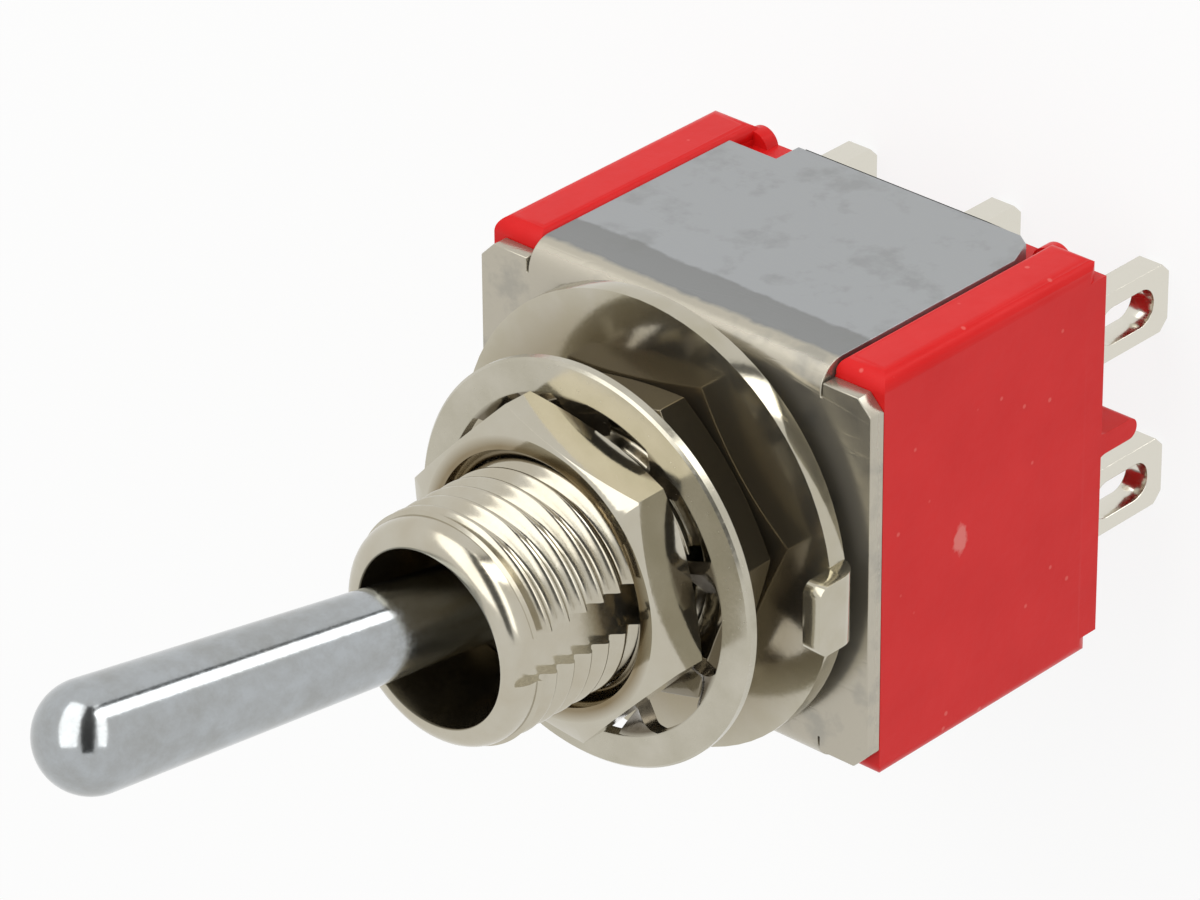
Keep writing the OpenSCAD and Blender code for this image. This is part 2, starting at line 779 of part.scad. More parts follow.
// Lock washer with a flat rim and twisted inner teeth, hanging on the thread
module lock_washer() {
    shift = [washer_shift_x, washer_shift_y, 0];
    tooth_in = thread_r + 2 * thread_fit + norm(shift);
    color("silver")
        translate(shift + [0, 0, washer_z]) {
            difference() {
                linear_extrude_z(-washer_t / 2, washer_t / 2) circle(washer_r);
                cut_cylinder(washer_rim_r, -washer_t / 2, washer_t / 2);
            }
            for (i = [0 : washer_teeth - 1])
                rotate([0, 0, washer_turn + 360 * i / washer_teeth])
                    translate([tooth_in, 0, 0])
                        rotate([tooth_twist, 0, 0])
                            translate([0, -tooth_w, -washer_t / 2])
                                cube([washer_rim_r - tooth_in + 0.3, tooth_w, washer_t]);
        }
}

module linear_extrude_z(low, high) {
    translate([0, 0, low]) linear_extrude(high - low) children();
}

module ring_solid(r, low, high) {
    translate([0, 0, low]) cylinder(h = high - low, r = r);
}

// Cylinder that cuts through both faces, or only through the lower one
module cut_cylinder(r, low, high, through = true) {
    ring_solid(r, low - e, high + (through ? e : 0));
}

frame_cover();
case();
bushing();
lever();
carriage();
plunger(1);  // plunger_a
plunger(-1);  // plunger_b
spring(1);  // spring_a
spring(-1);  // spring_b
rocker(1);  // rocker_a
rocker(-1);  // rocker_b
end_lug(1, -1);  // terminal_a1
middle_lug(1);  // terminal_a2
end_lug(1, 1);  // terminal_a3
end_lug(-1, -1);  // terminal_b1
middle_lug(-1);  // terminal_b2
end_lug(-1, 1);  // terminal_b3
locking_ring();
nut(rear_nut_z, rear_nut_turn);  // rear_nut
lock_washer();
nut(front_nut_z, front_nut_turn);  // front_nut
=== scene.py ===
"""Looks of a miniature panel toggle switch.

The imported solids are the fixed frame, and every piece here rides on one of its bodies. The thread,
the nuts, the toothed washer and the turned and moulded surfaces are modelled in full, and each
hidden piece gets its own finish.

The frame's origin is on the bushing's axis, on the cover plate's front face. +Z runs along the
bushing towards the lever, and X is the direction of the throw.
"""
import logging
import math
from contextlib import contextmanager
from dataclasses import dataclass
from enum import Enum
from typing import Iterator, Optional, Sequence

import bpy
from mathutils import Matrix, Vector

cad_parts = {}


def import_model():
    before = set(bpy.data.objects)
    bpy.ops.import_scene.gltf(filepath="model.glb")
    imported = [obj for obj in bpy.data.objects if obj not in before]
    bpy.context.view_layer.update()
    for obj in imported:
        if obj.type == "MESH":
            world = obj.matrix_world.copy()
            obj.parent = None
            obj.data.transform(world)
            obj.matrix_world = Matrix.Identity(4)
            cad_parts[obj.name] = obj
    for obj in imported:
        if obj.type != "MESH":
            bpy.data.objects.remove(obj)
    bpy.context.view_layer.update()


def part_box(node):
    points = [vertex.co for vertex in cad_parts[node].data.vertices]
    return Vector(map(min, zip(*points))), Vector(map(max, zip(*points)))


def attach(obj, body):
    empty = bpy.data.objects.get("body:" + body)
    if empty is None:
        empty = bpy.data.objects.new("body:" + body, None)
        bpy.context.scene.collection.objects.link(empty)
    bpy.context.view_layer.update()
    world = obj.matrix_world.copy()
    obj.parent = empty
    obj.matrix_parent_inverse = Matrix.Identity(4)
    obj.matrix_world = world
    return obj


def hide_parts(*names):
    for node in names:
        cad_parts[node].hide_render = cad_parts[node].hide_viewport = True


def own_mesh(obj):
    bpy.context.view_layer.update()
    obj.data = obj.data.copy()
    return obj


LOG = logging.getLogger("toggle_switch")
MM = 0.001  # one millimetre, in metres
MERGE_GAP = 1e-6  # vertices closer than this, in metres, are one
OVERLAP = 0.1  # how far a cutter stands past the face it cuts through, in millimetres
Point = tuple[float, float]
Point3 = tuple[float, float, float]
Piece = bpy.types.Object
Tree = bpy.types.NodeTree
Node = bpy.types.Node
Socket = bpy.types.NodeSocket
WASHER_SHIFT = (0.16, -0.19)  # play of the loose lock washer off the axis, in millimetres


class Body(Enum):
    """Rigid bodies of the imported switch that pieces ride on."""

    HOUSING = "housing"
    LEVER = "lever"
    CARRIAGE = "carriage"


class Cut(Enum):
    """Ways in which one closed piece acts on another."""

    ADD = "UNION"
    REMOVE = "DIFFERENCE"
    KEEP_COMMON = "INTERSECT"


# ---------------------------------------------------------------- modelling


def clear_selection() -> None:
    """Leave edit mode and deselect every object."""
    if bpy.context.object and bpy.context.object.mode != "OBJECT":
        bpy.ops.object.mode_set(mode="OBJECT")
    bpy.ops.object.select_all(action="DESELECT")


def pick(piece: Piece) -> None:
    """Make a piece the only selected and the active object."""
    clear_selection()
    piece.select_set(True)
    bpy.context.view_layer.objects.active = piece


@contextmanager
def editing(piece: Piece) -> Iterator[None]:
    """Hold a piece in edit mode, on its vertices, with nothing selected.

    Args:
        piece: The mesh object to edit.
    """
    pick(piece)
    bpy.ops.object.mode_set(mode="EDIT")
    bpy.ops.mesh.select_mode(type="VERT")
    bpy.ops.mesh.select_all(action="DESELECT")
    yield
    bpy.ops.object.mode_set(mode="OBJECT")


def drop_doubles_and_face_out(piece: Piece) -> None:
    """Merge coinciding vertices and turn all faces outwards."""
    with editing(piece):
        bpy.ops.mesh.select_all(action="SELECT")
        bpy.ops.mesh.remove_doubles(threshold=MERGE_GAP)
        bpy.ops.mesh.normals_make_consistent(inside=False)


def modify(piece: Piece, kind: str, **settings: object) -> None:
    """Add a modifier with its settings and apply it.

    Args:
        piece: The object to change.
        kind: Blender's name for the modifier type.
        **settings: Values set on the modifier before it is applied.
    """
    pick(piece)
    modifier = piece.modifiers.new(kind.lower(), kind)
    for name, value in settings.items():
        setattr(modifier, name, value)
    bpy.ops.object.modifier_apply(modifier=modifier.name)


def carve(piece: Piece, tool: Piece, cut: Cut) -> None:
    """Add, remove or keep the space of a closed tool piece, and delete the tool."""
    modify(piece, "BOOLEAN", object=tool, operation=cut.value, solver="MANIFOLD")
    bpy.data.objects.remove(tool)


def draw_chain(name: str, points: Sequence[Vector], closed: bool) -> Piece:
    """Draw a chain of edges by extruding one vertex from point to point.

    Args:
        name: Name of the new object.
        points: Corners of the chain, in metres.
        closed: Whether the last point is joined to the first.

    Returns:
        The new mesh object, a wire with no faces.
    """
    clear_selection()
    bpy.ops.mesh.primitive_plane_add(size=MM, location=(0, 0, 0))
    piece = bpy.context.object
    piece.name = piece.data.name = name
    with editing(piece):
        bpy.ops.mesh.select_all(action="SELECT")
        bpy.ops.mesh.merge(type="CENTER")
        bpy.ops.transform.translate(value=points[0])
        for start, end in zip(points, points[1:]):
            bpy.ops.mesh.extrude_region_move(
                TRANSFORM_OT_translate={"value": end - start}
            )
        if closed:
            bpy.ops.mesh.select_all(action="DESELECT")
            bpy.ops.object.mode_set(mode="OBJECT")
            piece.data.vertices[0].select = True
            piece.data.vertices[len(points) - 1].select = True
            bpy.ops.object.mode_set(mode="EDIT")
            bpy.ops.mesh.edge_face_add()
    return piece


def turn(name: str, outline: Sequence[Point], sides: int = 144) -> Piece:
    """Turn a half section about the Z axis.

    Args:
        name: Name of the new object.
        outline: Radius and height of each corner, in millimetres. An outline that starts and
            ends on the axis stays open there, and its ends become the poles.
        sides: Sides of the turned piece.

    Returns:
        A closed solid of revolution.
    """
    points = [Vector((r, 0.0, z)) * MM for r, z in outline]
    piece = draw_chain(name, points, closed=outline[0][0] > 0)
    with editing(piece):
        bpy.ops.mesh.select_all(action="SELECT")
        bpy.ops.mesh.spin(
            steps=sides, angle=math.tau, center=(0, 0, 0), axis=(0, 0, 1)
        )
    drop_doubles_and_face_out(piece)
    return piece


def slab(name: str, outline: Sequence[Point], start: float, thickness: float,
         turned: Matrix) -> Piece:
    """Cut a flat outline from a plate.

    Args:
        name: Name of the new object.
        outline: Corners in the plate's own plane, in millimetres.
        start: Height of the plate's lower face, in millimetres.
        thickness: Thickness of the plate, in millimetres.
        turned: Turn from the drawing plane into the frame.

    Returns:
        A closed prism.
    """
    points = [turned @ (Vector((x, y, start)) * MM) for x, y in outline]
    piece = draw_chain(name, points, closed=True)
    with editing(piece):
        bpy.ops.mesh.select_all(action="SELECT")
        bpy.ops.mesh.edge_face_add()
        bpy.ops.mesh.extrude_region_move(
            TRANSFORM_OT_translate={"value": turned @ Vector((0, 0, thickness * MM))}
        )
    drop_doubles_and_face_out(piece)
    return piece


def arc(centre: Point, radius: float, start: float, end: float,
        steps: int) -> list[Point]:
    """Points along a circular arc, ends included.

    Args:
        centre: Centre of the arc.
        radius: Its radius.
        start: Angle of the first point, in degrees.
        end: Angle of the last point, in degrees.
        steps: Number of chords.

    Returns:
        The points, in the units of the centre and radius.
    """
    angles = [math.radians(start + (end - start) * i / steps) for i in range(steps + 1)]
    return [(centre[0] + radius * math.cos(a), centre[1] + radius * math.sin(a))
            for a in angles]


def merged_copy(node: str, name: str) -> Piece:
    """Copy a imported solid, merge its loose triangles and dissolve its flat faces.

    Args:
        node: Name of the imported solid.
        name: Name of the new object.

    Returns:
        A closed mesh of the same shape.
    """
    source = bpy.data.objects[node]
    piece = bpy.data.objects.new(name, source.data.copy())
    bpy.context.scene.collection.objects.link(piece)
    drop_doubles_and_face_out(piece)
    with editing(piece):
        bpy.ops.mesh.select_all(action="SELECT")
        bpy.ops.mesh.dissolve_limited(angle_limit=math.radians(1.0))
    return piece


def soften(piece: Piece, width: float, segments: int = 2,
           angle: float = 35.0) -> None:
    """Round the sharp edges of a piece and shade it so that its flats stay flat.

    Args:
        piece: The object to change.
        width: Width of the rounding, in millimetres.
        segments: Chords across the rounding.
        angle: Edges sharper than this many degrees are rounded.
    """
    modify(piece, "BEVEL", width=width * MM, segments=segments, limit_method="ANGLE",
           angle_limit=math.radians(angle), use_clamp_overlap=True)
    shade(piece)


def shade(piece: Piece, angle: float = 40.0) -> None:
    """Shade smooth below an angle in degrees, with each normal led by its largest face."""
    pick(piece)
    bpy.ops.object.shade_smooth_by_angle(angle=math.radians(angle))
    modify(piece, "WEIGHTED_NORMAL", keep_sharp=True, weight=100)
    clear_selection()


def fit(piece: Piece, finish: "Finish", body: Body, slot: str, *nodes: str) -> None:
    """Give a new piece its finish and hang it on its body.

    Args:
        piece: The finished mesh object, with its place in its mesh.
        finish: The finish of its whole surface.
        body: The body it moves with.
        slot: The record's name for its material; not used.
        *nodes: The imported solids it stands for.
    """
    piece.data.materials.clear()
    piece.data.materials.append(finish.material())
    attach(piece, body.value)
    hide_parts(*nodes)
    LOG.info("%s: %d faces, stands for %s", piece.name, len(piece.data.polygons),
             ", ".join(nodes))


# ----------------------------------------------------------------- finishes


def linear(colour: str) -> tuple[float, float, float, float]:
    """Turn an sRGB hex colour into linear red, green, blue and full alpha."""
    parts = [int(colour[i:i + 2], 16) / 255 for i in (1, 3, 5)]
    red, green, blue = (
        part / 12.92 if part <= 0.04045 else ((part + 0.055) / 1.055) ** 2.4
        for part in parts
    )
    return red, green, blue, 1.0


def add_node(tree: Tree, kind: str, inputs: Optional[dict] = None,
             **settings: object) -> Node:
    """Add a node with its settings and feed its inputs.

    Args:
        tree: The node tree to add to.
        kind: Blender's name for the node type.
        inputs: For each input's name or number, an output to link or a value to set.
        **settings: Values set on the node itself.

    Returns:
        The new node.
    """
    node = tree.nodes.new(kind)
    for name, value in settings.items():
        setattr(node, name, value)
    for key, value in (inputs or {}).items():
        if isinstance(value, Socket):
            tree.links.new(value, node.inputs[key])
        else:
            node.inputs[key].default_value = value
    return node


def per_mm(size: float) -> float:
    """Texture scale at which one cell measures this many millimetres."""
    return 1.0 / (size * MM)


def set_stops(ramp: Node, stops: Sequence[tuple[float, str]]) -> None:
    """Give a colour ramp its stops as positions and sRGB hex colours."""
    elements = ramp.color_ramp.elements
    while len(elements) < len(stops):
        elements.new(0.5)
    for element, (position, colour) in zip(elements, stops):
        element.position = position
        element.color = linear(colour)


@dataclass(frozen=True)
class Finish:
    """A surface finish: a named material that is made once and then shared.

    Attributes:
        name: What the material is and how its surface was made.
        base: Its colour, sRGB hex.
        roughness: Its micro roughness.
        metallic: Share of it that mirrors as bare metal; the rest scatters.
    """

    name: str
    base: str
    roughness: float
    metallic: float = 1.0

    def material(self) -> bpy.types.Material:
        """Return the finish's material, made on first use."""
        made = bpy.data.materials.get(self.name)
        if made is None:
            made = bpy.data.materials.new(self.name)
            made.use_nodes = True
            tree = made.node_tree
            shader = tree.nodes["Principled BSDF"]
            shader.inputs["Base Color"].default_value = linear(self.base)
            shader.inputs["Roughness"].default_value = self.roughness
            shader.inputs["Metallic"].default_value = self.metallic
            place = add_node(tree, "ShaderNodeTexCoord").outputs["Object"]
            self.detail(tree, shader, place)
        return made

    def detail(self, tree: Tree, shader: Node, place: Socket) -> None:
        """Add the finish's own patterns to the shader.

        Args:
            tree: The material's node tree.
            shader: Its Principled shader.
            place: The point on the surface, in metres in the frame.
        """

    def vary_roughness(self, tree: Tree, shader: Node, pattern: Socket,
                       low: float, high: float) -> None:
        """Let a pattern from 0 to 1 drive the roughness between two multiples of its own."""
        span = add_node(tree, "ShaderNodeMapRange",
                        {"Value": pattern, "To Min": self.roughness * low,
                         "To Max": self.roughness * high})
        tree.links.new(span.outputs["Result"], shader.inputs["Roughness"])

    def tint(self, tree: Tree, shader: Node, pattern: Socket,
             stops: Sequence[tuple[float, str]]) -> None:
        """Let a pattern from 0 to 1 choose the colour along a ramp."""
        ramp = add_node(tree, "ShaderNodeValToRGB", {"Fac": pattern})
        set_stops(ramp, stops)
        tree.links.new(ramp.outputs["Color"], shader.inputs["Base Color"])

    def emboss(self, tree: Tree, shader: Node, pattern: Socket, height: float,
               strength: float = 1.0) -> None:
        """Raise the surface by a pattern from 0 to 1, to a height in millimetres."""
        under = shader.inputs["Normal"].links
        inputs = {"Height": pattern, "Distance": height * MM, "Strength": strength}
        if under:
            inputs["Normal"] = under[0].from_socket
        bump = add_node(tree, "ShaderNodeBump", inputs)
        tree.links.new(bump.outputs["Normal"], shader.inputs["Normal"])


@dataclass(frozen=True)
class NickelPlate(Finish):
    """Electroplated nickel over machined or stamped metal.

    The plating copies the tool marks under it, so its mirror image is softened and slightly
    streaky. It has a warm tone and small tumbling nicks, and a brown painted shade in the
    narrow gaps near the axis, where the parts shade one another.

    Attributes:
        patch: Size of the unevenly polished patches, in millimetres.
        polished: Colour of the brightest patches, sRGB hex.
        marks: Spacing of the tool marks, in millimetres. Real ones are near 0.02, too fine to
            show, so they are drawn coarser.
        mark_height: Height of the tool marks, in millimetres.
        nick: Mean distance between nicks, in millimetres.
        nick_size: Radius of a nick, as a share of that distance.
        nick_depth: Depth of a nick, in millimetres.
        painted_shade_r: Radius within which the painted brown shade lies, in millimetres.
        painted_shade_centre: Middle of the shade's circle, in millimetres.
        painted_shade_fade: Width over which the painted shade fades out, in millimetres.
        painted_shade_colour: Colour of the painted shade, sRGB hex.
        painted_shade_share: How much of the metal the painted shade hides where it is strongest,
            from 0 to 1.
        painted_shade_thin: The same where it is weakest, as a share of painted_shade_share.
    """

    patch: float = 1.1
    polished: str = "#BCB7A8"
    marks: float = 0.12
    mark_height: float = 0.0008
    nick: float = 0.9
    nick_size: float = 0.08
    nick_depth: float = 0.002
    painted_shade_r: float = 0.0
    painted_shade_centre: Point = (0.0, 0.0)
    painted_shade_fade: float = 0.25
    painted_shade_colour: str = "#7A6847"
    painted_shade_share: float = 0.5
    painted_shade_thin: float = 0.8

    def painted_shade_near_axis(self, tree: Tree, place: Socket) -> Socket:
        """Return 1 within the painted shade's radius, fading to 0 beyond it."""
        across, along = self.painted_shade_centre
        flat = add_node(tree, "ShaderNodeVectorMath",
                        {0: place, 1: (1.0, 1.0, 0.0), 2: (-across * MM, -along * MM, 0.0)},
                        operation="MULTIPLY_ADD")
        reach = add_node(tree, "ShaderNodeVectorMath", {0: flat.outputs["Vector"]},
                         operation="LENGTH")
        inside = add_node(tree, "ShaderNodeMapRange",
                          {"Value": reach.outputs["Value"],
                           "From Min": (self.painted_shade_r + self.painted_shade_fade) * MM,
                           "From Max": self.painted_shade_r * MM})
        return inside.outputs["Result"]

    def detail(self, tree: Tree, shader: Node, place: Socket) -> None:
        """Add uneven polish, the painted brown shade near the axis, tool marks and shallow nicks."""
        cloud = add_node(tree, "ShaderNodeTexNoise",
                         {"Vector": place, "Scale": per_mm(self.patch), "Detail": 4.0})
        tone = add_node(tree, "ShaderNodeValToRGB", {"Fac": cloud.outputs["Fac"]})
        set_stops(tone, [(0.32, self.base), (0.68, self.polished)])
        uneven = add_node(tree, "ShaderNodeMapRange",
                          {"Value": cloud.outputs["Fac"], "From Min": 0.3, "From Max": 0.7,
                           "To Min": self.painted_shade_share * self.painted_shade_thin,
                           "To Max": self.painted_shade_share})
        share = add_node(tree, "ShaderNodeMath",
                         {0: self.painted_shade_near_axis(tree, place), 1: uneven.outputs["Result"]},
                         operation="MULTIPLY")
        # Painted shade: near the axis the base colour turns brown, where the parts shade one
        # another.
        painted_shade_mix = add_node(tree, "ShaderNodeMix",
                          {"Factor": share.outputs[0], 6: tone.outputs["Color"],
                           7: linear(self.painted_shade_colour)}, data_type="RGBA")
        tree.links.new(painted_shade_mix.outputs[2], shader.inputs["Base Color"])
        marks = add_node(tree, "ShaderNodeTexNoise",
                         {"Vector": place, "Scale": per_mm(self.marks), "Detail": 2.0})
        self.vary_roughness(tree, shader, marks.outputs["Fac"], 0.6, 1.5)
        self.emboss(tree, shader, marks.outputs["Fac"], self.mark_height)
        pits = add_node(tree, "ShaderNodeTexVoronoi",
                        {"Vector": place, "Scale": per_mm(self.nick)})
        dent = add_node(tree, "ShaderNodeMapRange",
                        {"Value": pits.outputs["Distance"], "From Max": self.nick_size})
        self.emboss(tree, shader, dent.outputs["Result"], self.nick_depth, 0.5)


@dataclass(frozen=True)
class ChromePlate(Finish):
    """Bright chromium over polished brass: a cool mirror, dulled and clouded by handling.

    Attributes:
        wave: Length of the polishing wave, in millimetres.
        wave_height: Height of that wave, in millimetres.
        touch: Size of the cloudy patches, in millimetres.
        touched: Colour of those patches, sRGB hex.
        hairline: Spacing of the hairlines, in millimetres. Real ones are near 0.01, too fine
            to show, so they are drawn coarser.
        hairline_height: Height of the hairlines, in millimetres.
    """

    wave: float = 2.5
    wave_height: float = 0.004
    touch: float = 0.8
    touched: str = "#9FA1A0"
    hairline: float = 0.1
    hairline_height: float = 0.001

    def detail(self, tree: Tree, shader: Node, place: Socket) -> None:
        """Add the polishing wave, a cloudy tone and the dulling of handling."""
        wave = add_node(tree, "ShaderNodeTexNoise",
                        {"Vector": place, "Scale": per_mm(self.wave), "Detail": 1.0})
        self.emboss(tree, shader, wave.outputs["Fac"], self.wave_height)
        touch = add_node(tree, "ShaderNodeTexNoise",
                         {"Vector": place, "Scale": per_mm(self.touch), "Detail": 5.0,
                          "Roughness": 0.65})
        self.tint(tree, shader, touch.outputs["Fac"],
                  [(0.35, self.base), (0.65, self.touched)])
        lines = add_node(tree, "ShaderNodeTexNoise",
                         {"Vector": place, "Scale": per_mm(self.hairline), "Detail": 3.0})
        self.vary_roughness(tree, shader, lines.outputs["Fac"], 0.5, 1.5)
        self.emboss(tree, shader, lines.outputs["Fac"], self.hairline_height)


@dataclass(frozen=True)
class SatinSheet(Finish):
    """Rolled and folded steel sheet with dull nickel plating.

    The front face was tumbled with the hardware and has its warm tone. The folded flanges keep
    the cooler dull grey of the sheet, with scuffs and a darker band beside the fold, which is a
    painted reflection of a dark horizon.

    Attributes:
        scuff: Size of the cloudy patches, in millimetres.
        dull: Colour of the dullest patches, sRGB hex.
        front: Colour of the front face, sRGB hex.
        painted_dark_reflection: Colour of the band beside the fold, a painted dark reflection, sRGB
            hex.
        front_z: Height at which the colour ramp ends, just past the front face.
        fold_z: Height at which the fold ends and the band begins, in millimetres.
        band_z: Height at which the band ends, in millimetres.
        below_band: How far past the band the colour ramp starts, in millimetres.
        wander: How far the clouds shift the band's edges, in millimetres.
        grain: Width of the rolling lines, in millimetres.
        grain_height: Height of those lines, in millimetres.
        drawn_out: Scale along X, the way of rolling, against the scale across it.
        scratch: Mean distance between scratches, in millimetres.
        scratch_depth: Depth of a scratch, in millimetres.
    """

    scuff: float = 1.3
    dull: str = "#7F807D"
    front: str = "#B4AE9F"
    painted_dark_reflection: str = "#868786"
    front_z: float = 0.3
    fold_z: float = -0.5
    band_z: float = -1.7
    below_band: float = 0.2
    wander: float = 0.5
    grain: float = 0.09
    grain_height: float = 0.0012
    drawn_out: float = 0.15
    scratch: float = 0.8
    scratch_depth: float = 0.004

    def detail(self, tree: Tree, shader: Node, place: Socket) -> None:
        """Add the tones of front, fold and flange, the painted dark reflection beside the fold,
        cloudy plating, scuffs and grain.
        """
        cloud = add_node(tree, "ShaderNodeTexNoise",
                         {"Vector": place, "Scale": per_mm(self.scuff), "Detail": 5.0,
                          "Roughness": 0.6})
        parts = add_node(tree, "ShaderNodeSeparateXYZ", {"Vector": place})
        height = add_node(tree, "ShaderNodeMath",
                          {0: cloud.outputs["Fac"], 1: self.wander * MM,
                           2: parts.outputs["Z"]}, operation="MULTIPLY_ADD")
        start = self.band_z - self.below_band
        depth = add_node(tree, "ShaderNodeMapRange",
                         {"Value": height.outputs[0], "From Min": start * MM,
                          "From Max": self.front_z * MM})
        tone = add_node(tree, "ShaderNodeValToRGB", {"Fac": depth.outputs["Result"]})
        # Painted reflection: the band from band_z up to fold_z is darkened to stand for a dark
        # horizon mirrored in the flange.
        set_stops(tone, [((z - start) / (self.front_z - start), colour) for z, colour in (
            (self.band_z, self.base), (self.band_z + 0.12, self.painted_dark_reflection),
            (self.fold_z, self.painted_dark_reflection), (self.fold_z + 0.15, self.front))])
        dulled = add_node(tree, "ShaderNodeMapRange",
                          {"Value": cloud.outputs["Fac"], "From Min": 0.52,
                           "From Max": 0.66, "To Max": 0.35})
        clouded = add_node(tree, "ShaderNodeMix",
                           {"Factor": dulled.outputs["Result"], 6: tone.outputs["Color"],
                            7: linear(self.dull)}, data_type="RGBA")
        tree.links.new(clouded.outputs[2], shader.inputs["Base Color"])
        self.vary_roughness(tree, shader, depth.outputs["Result"], 1.1, 0.6)
        drawn = add_node(tree, "ShaderNodeMapping",
                         {"Vector": place, "Scale": (self.drawn_out, 1.0, 1.0)})
        grain = add_node(tree, "ShaderNodeTexNoise",
                         {"Vector": drawn.outputs["Vector"], "Scale": per_mm(self.grain),
                          "Detail": 1.0})
        self.emboss(tree, shader, grain.outputs["Fac"], self.grain_height)
        scratch = add_node(tree, "ShaderNodeTexVoronoi",
                           {"Vector": drawn.outputs["Vector"],
                            "Scale": per_mm(self.scratch)}, feature="DISTANCE_TO_EDGE")
        line = add_node(tree, "ShaderNodeMapRange",
                        {"Value": scratch.outputs["Distance"], "From Max": 0.02})
        self.emboss(tree, shader, line.outputs["Result"], self.scratch_depth, 0.5)


@dataclass(frozen=True)
class MouldedThermoset(Finish):
    """Red diallyl phthalate moulding: semi-gloss, with flow clouding and a faint orange peel.

    Attributes:
        gloss: Strength of its mirror image, where 0.5 is a plain plastic's.
        flow: Size of the flow clouds, in millimetres.
        flowed: Colour of the brightest clouds, sRGB hex.
        peel: Size of the orange peel, in millimetres.
        peel_height: Height of the orange peel, in millimetres.
        speck: Mean distance between dust specks, in millimetres.
        speck_colour: Colour of the specks, sRGB hex.
        gate_place: Middle of the pale mark where the gate broke off, in millimetres.
        gate_size: Its size along each axis, in millimetres.
        gate_break: Size of the breaks in its ragged edge, in millimetres.
        gate_colour: Colour of the mark, sRGB hex.
    """

    gloss: float = 0.2
    flow: float = 1.8
    flowed: str = "#D21B1B"
    peel: float = 0.35
    peel_height: float = 0.006
    speck: float = 0.9
    speck_colour: str = "#E58A80"
    gate_place: Point3 = (6.65, -0.07, -3.56)
    gate_size: Point3 = (0.5, 0.55, 0.3)
    gate_break: float = 0.3
    gate_colour: str = "#DD7F78"

    def detail(self, tree: Tree, shader: Node, place: Socket) -> None:
        """Add flow clouding, the peel, dust specks and the pale mark of the gate."""
        shader.inputs["Specular IOR Level"].default_value = self.gloss
        flow = add_node(tree, "ShaderNodeTexNoise",
                        {"Vector": place, "Scale": per_mm(self.flow), "Detail": 3.0})
        self.tint(tree, shader, flow.outputs["Fac"],
                  [(0.3, self.base), (0.75, self.flowed)])
        tone = shader.inputs["Base Color"].links[0].from_socket
        gate = add_node(tree, "ShaderNodeMapping",
                        {"Vector": place, "Scale": [per_mm(size) for size in self.gate_size],
                         "Location": [-spot / size for spot, size
                                      in zip(self.gate_place, self.gate_size)]})
        reach = add_node(tree, "ShaderNodeVectorMath", {0: gate.outputs["Vector"]},
                         operation="LENGTH")
        ragged = add_node(tree, "ShaderNodeTexNoise",
                          {"Vector": place, "Scale": per_mm(self.gate_break), "Detail": 3.0})
        edge = add_node(tree, "ShaderNodeMath",
                        {0: ragged.outputs["Fac"], 1: 1.1, 2: reach.outputs["Value"]},
                        operation="MULTIPLY_ADD")
        broken = add_node(tree, "ShaderNodeMapRange",
                          {"Value": edge.outputs[0], "From Min": 1.5, "From Max": 1.2,
                           "To Max": 0.75})
        torn = add_node(tree, "ShaderNodeMix",
                        {"Factor": broken.outputs["Result"], 6: tone,
                         7: linear(self.gate_colour)}, data_type="RGBA")
        specks = add_node(tree, "ShaderNodeTexVoronoi",
                          {"Vector": place, "Scale": per_mm(self.speck)})
        speck = add_node(tree, "ShaderNodeMapRange",
                         {"Value": specks.outputs["Distance"], "From Min": 0.09,
                          "From Max": 0.05, "To Max": 0.35})
        dusted = add_node(tree, "ShaderNodeMix",
                          {"Factor": speck.outputs["Result"], 6: torn.outputs[2],
                           7: linear(self.speck_colour)}, data_type="RGBA")
        tree.links.new(dusted.outputs[2], shader.inputs["Base Color"])
        peel = add_node(tree, "ShaderNodeTexNoise",
                        {"Vector": place, "Scale": per_mm(self.peel), "Detail": 2.0})
        self.vary_roughness(tree, shader, peel.outputs["Fac"], 0.85, 1.2)
        self.emboss(tree, shader, peel.outputs["Fac"], self.peel_height)


@dataclass(frozen=True)
class TinPlate(Finish):
    """Hot-dipped tin on brass lugs: pale and soft-edged where the dip ran and set.

    Attributes:
        run: Size of the set runs, in millimetres.
        run_height: Height of the runs, in millimetres.
        frost: Size of the grains of its frosted skin, in millimetres.
    """

    run: float = 0.9
    run_height: float = 0.03
    frost: float = 0.12

    def detail(self, tree: Tree, shader: Node, place: Socket) -> None:
        """Add the set runs of the dip and a grainy frost."""
        run = add_node(tree, "ShaderNodeTexNoise",
                       {"Vector": place, "Scale": per_mm(self.run), "Detail": 2.0})
        self.emboss(tree, shader, run.outputs["Fac"], self.run_height)
        frost = add_node(tree, "ShaderNodeTexNoise",
                         {"Vector": place, "Scale": per_mm(self.frost), "Detail": 2.0})
        self.vary_roughness(tree, shader, frost.outputs["Fac"], 0.7, 1.5)


@dataclass(frozen=True)
class MouldedNylon(Finish):
    """Natural nylon moulding, waxy and slightly clouded, with light going a little way in.

    Attributes:
        cloud: Size of the clouding, in millimetres.
        clouded: Colour of the palest clouds, sRGB hex.
        depth: How far light goes into it, in millimetres.
        texture_height: Height of its moulded texture, in millimetres.
    """

    cloud: float = 1.2
    clouded: str = "#E9E4D2"
    depth: float = 0.5
    texture_height: float = 0.004

    def detail(self, tree: Tree, shader: Node, place: Socket) -> None:
        """Add its clouding and a fine moulded texture."""
        shader.inputs["Subsurface Weight"].default_value = 0.2
        shader.inputs["Subsurface Scale"].default_value = self.depth * MM
        cloud = add_node(tree, "ShaderNodeTexNoise",
                         {"Vector": place, "Scale": per_mm(self.cloud), "Detail": 3.0})
        self.tint(tree, shader, cloud.outputs["Fac"],
                  [(0.3, self.base), (0.7, self.clouded)])
        self.emboss(tree, shader, cloud.outputs["Fac"], self.texture_height)


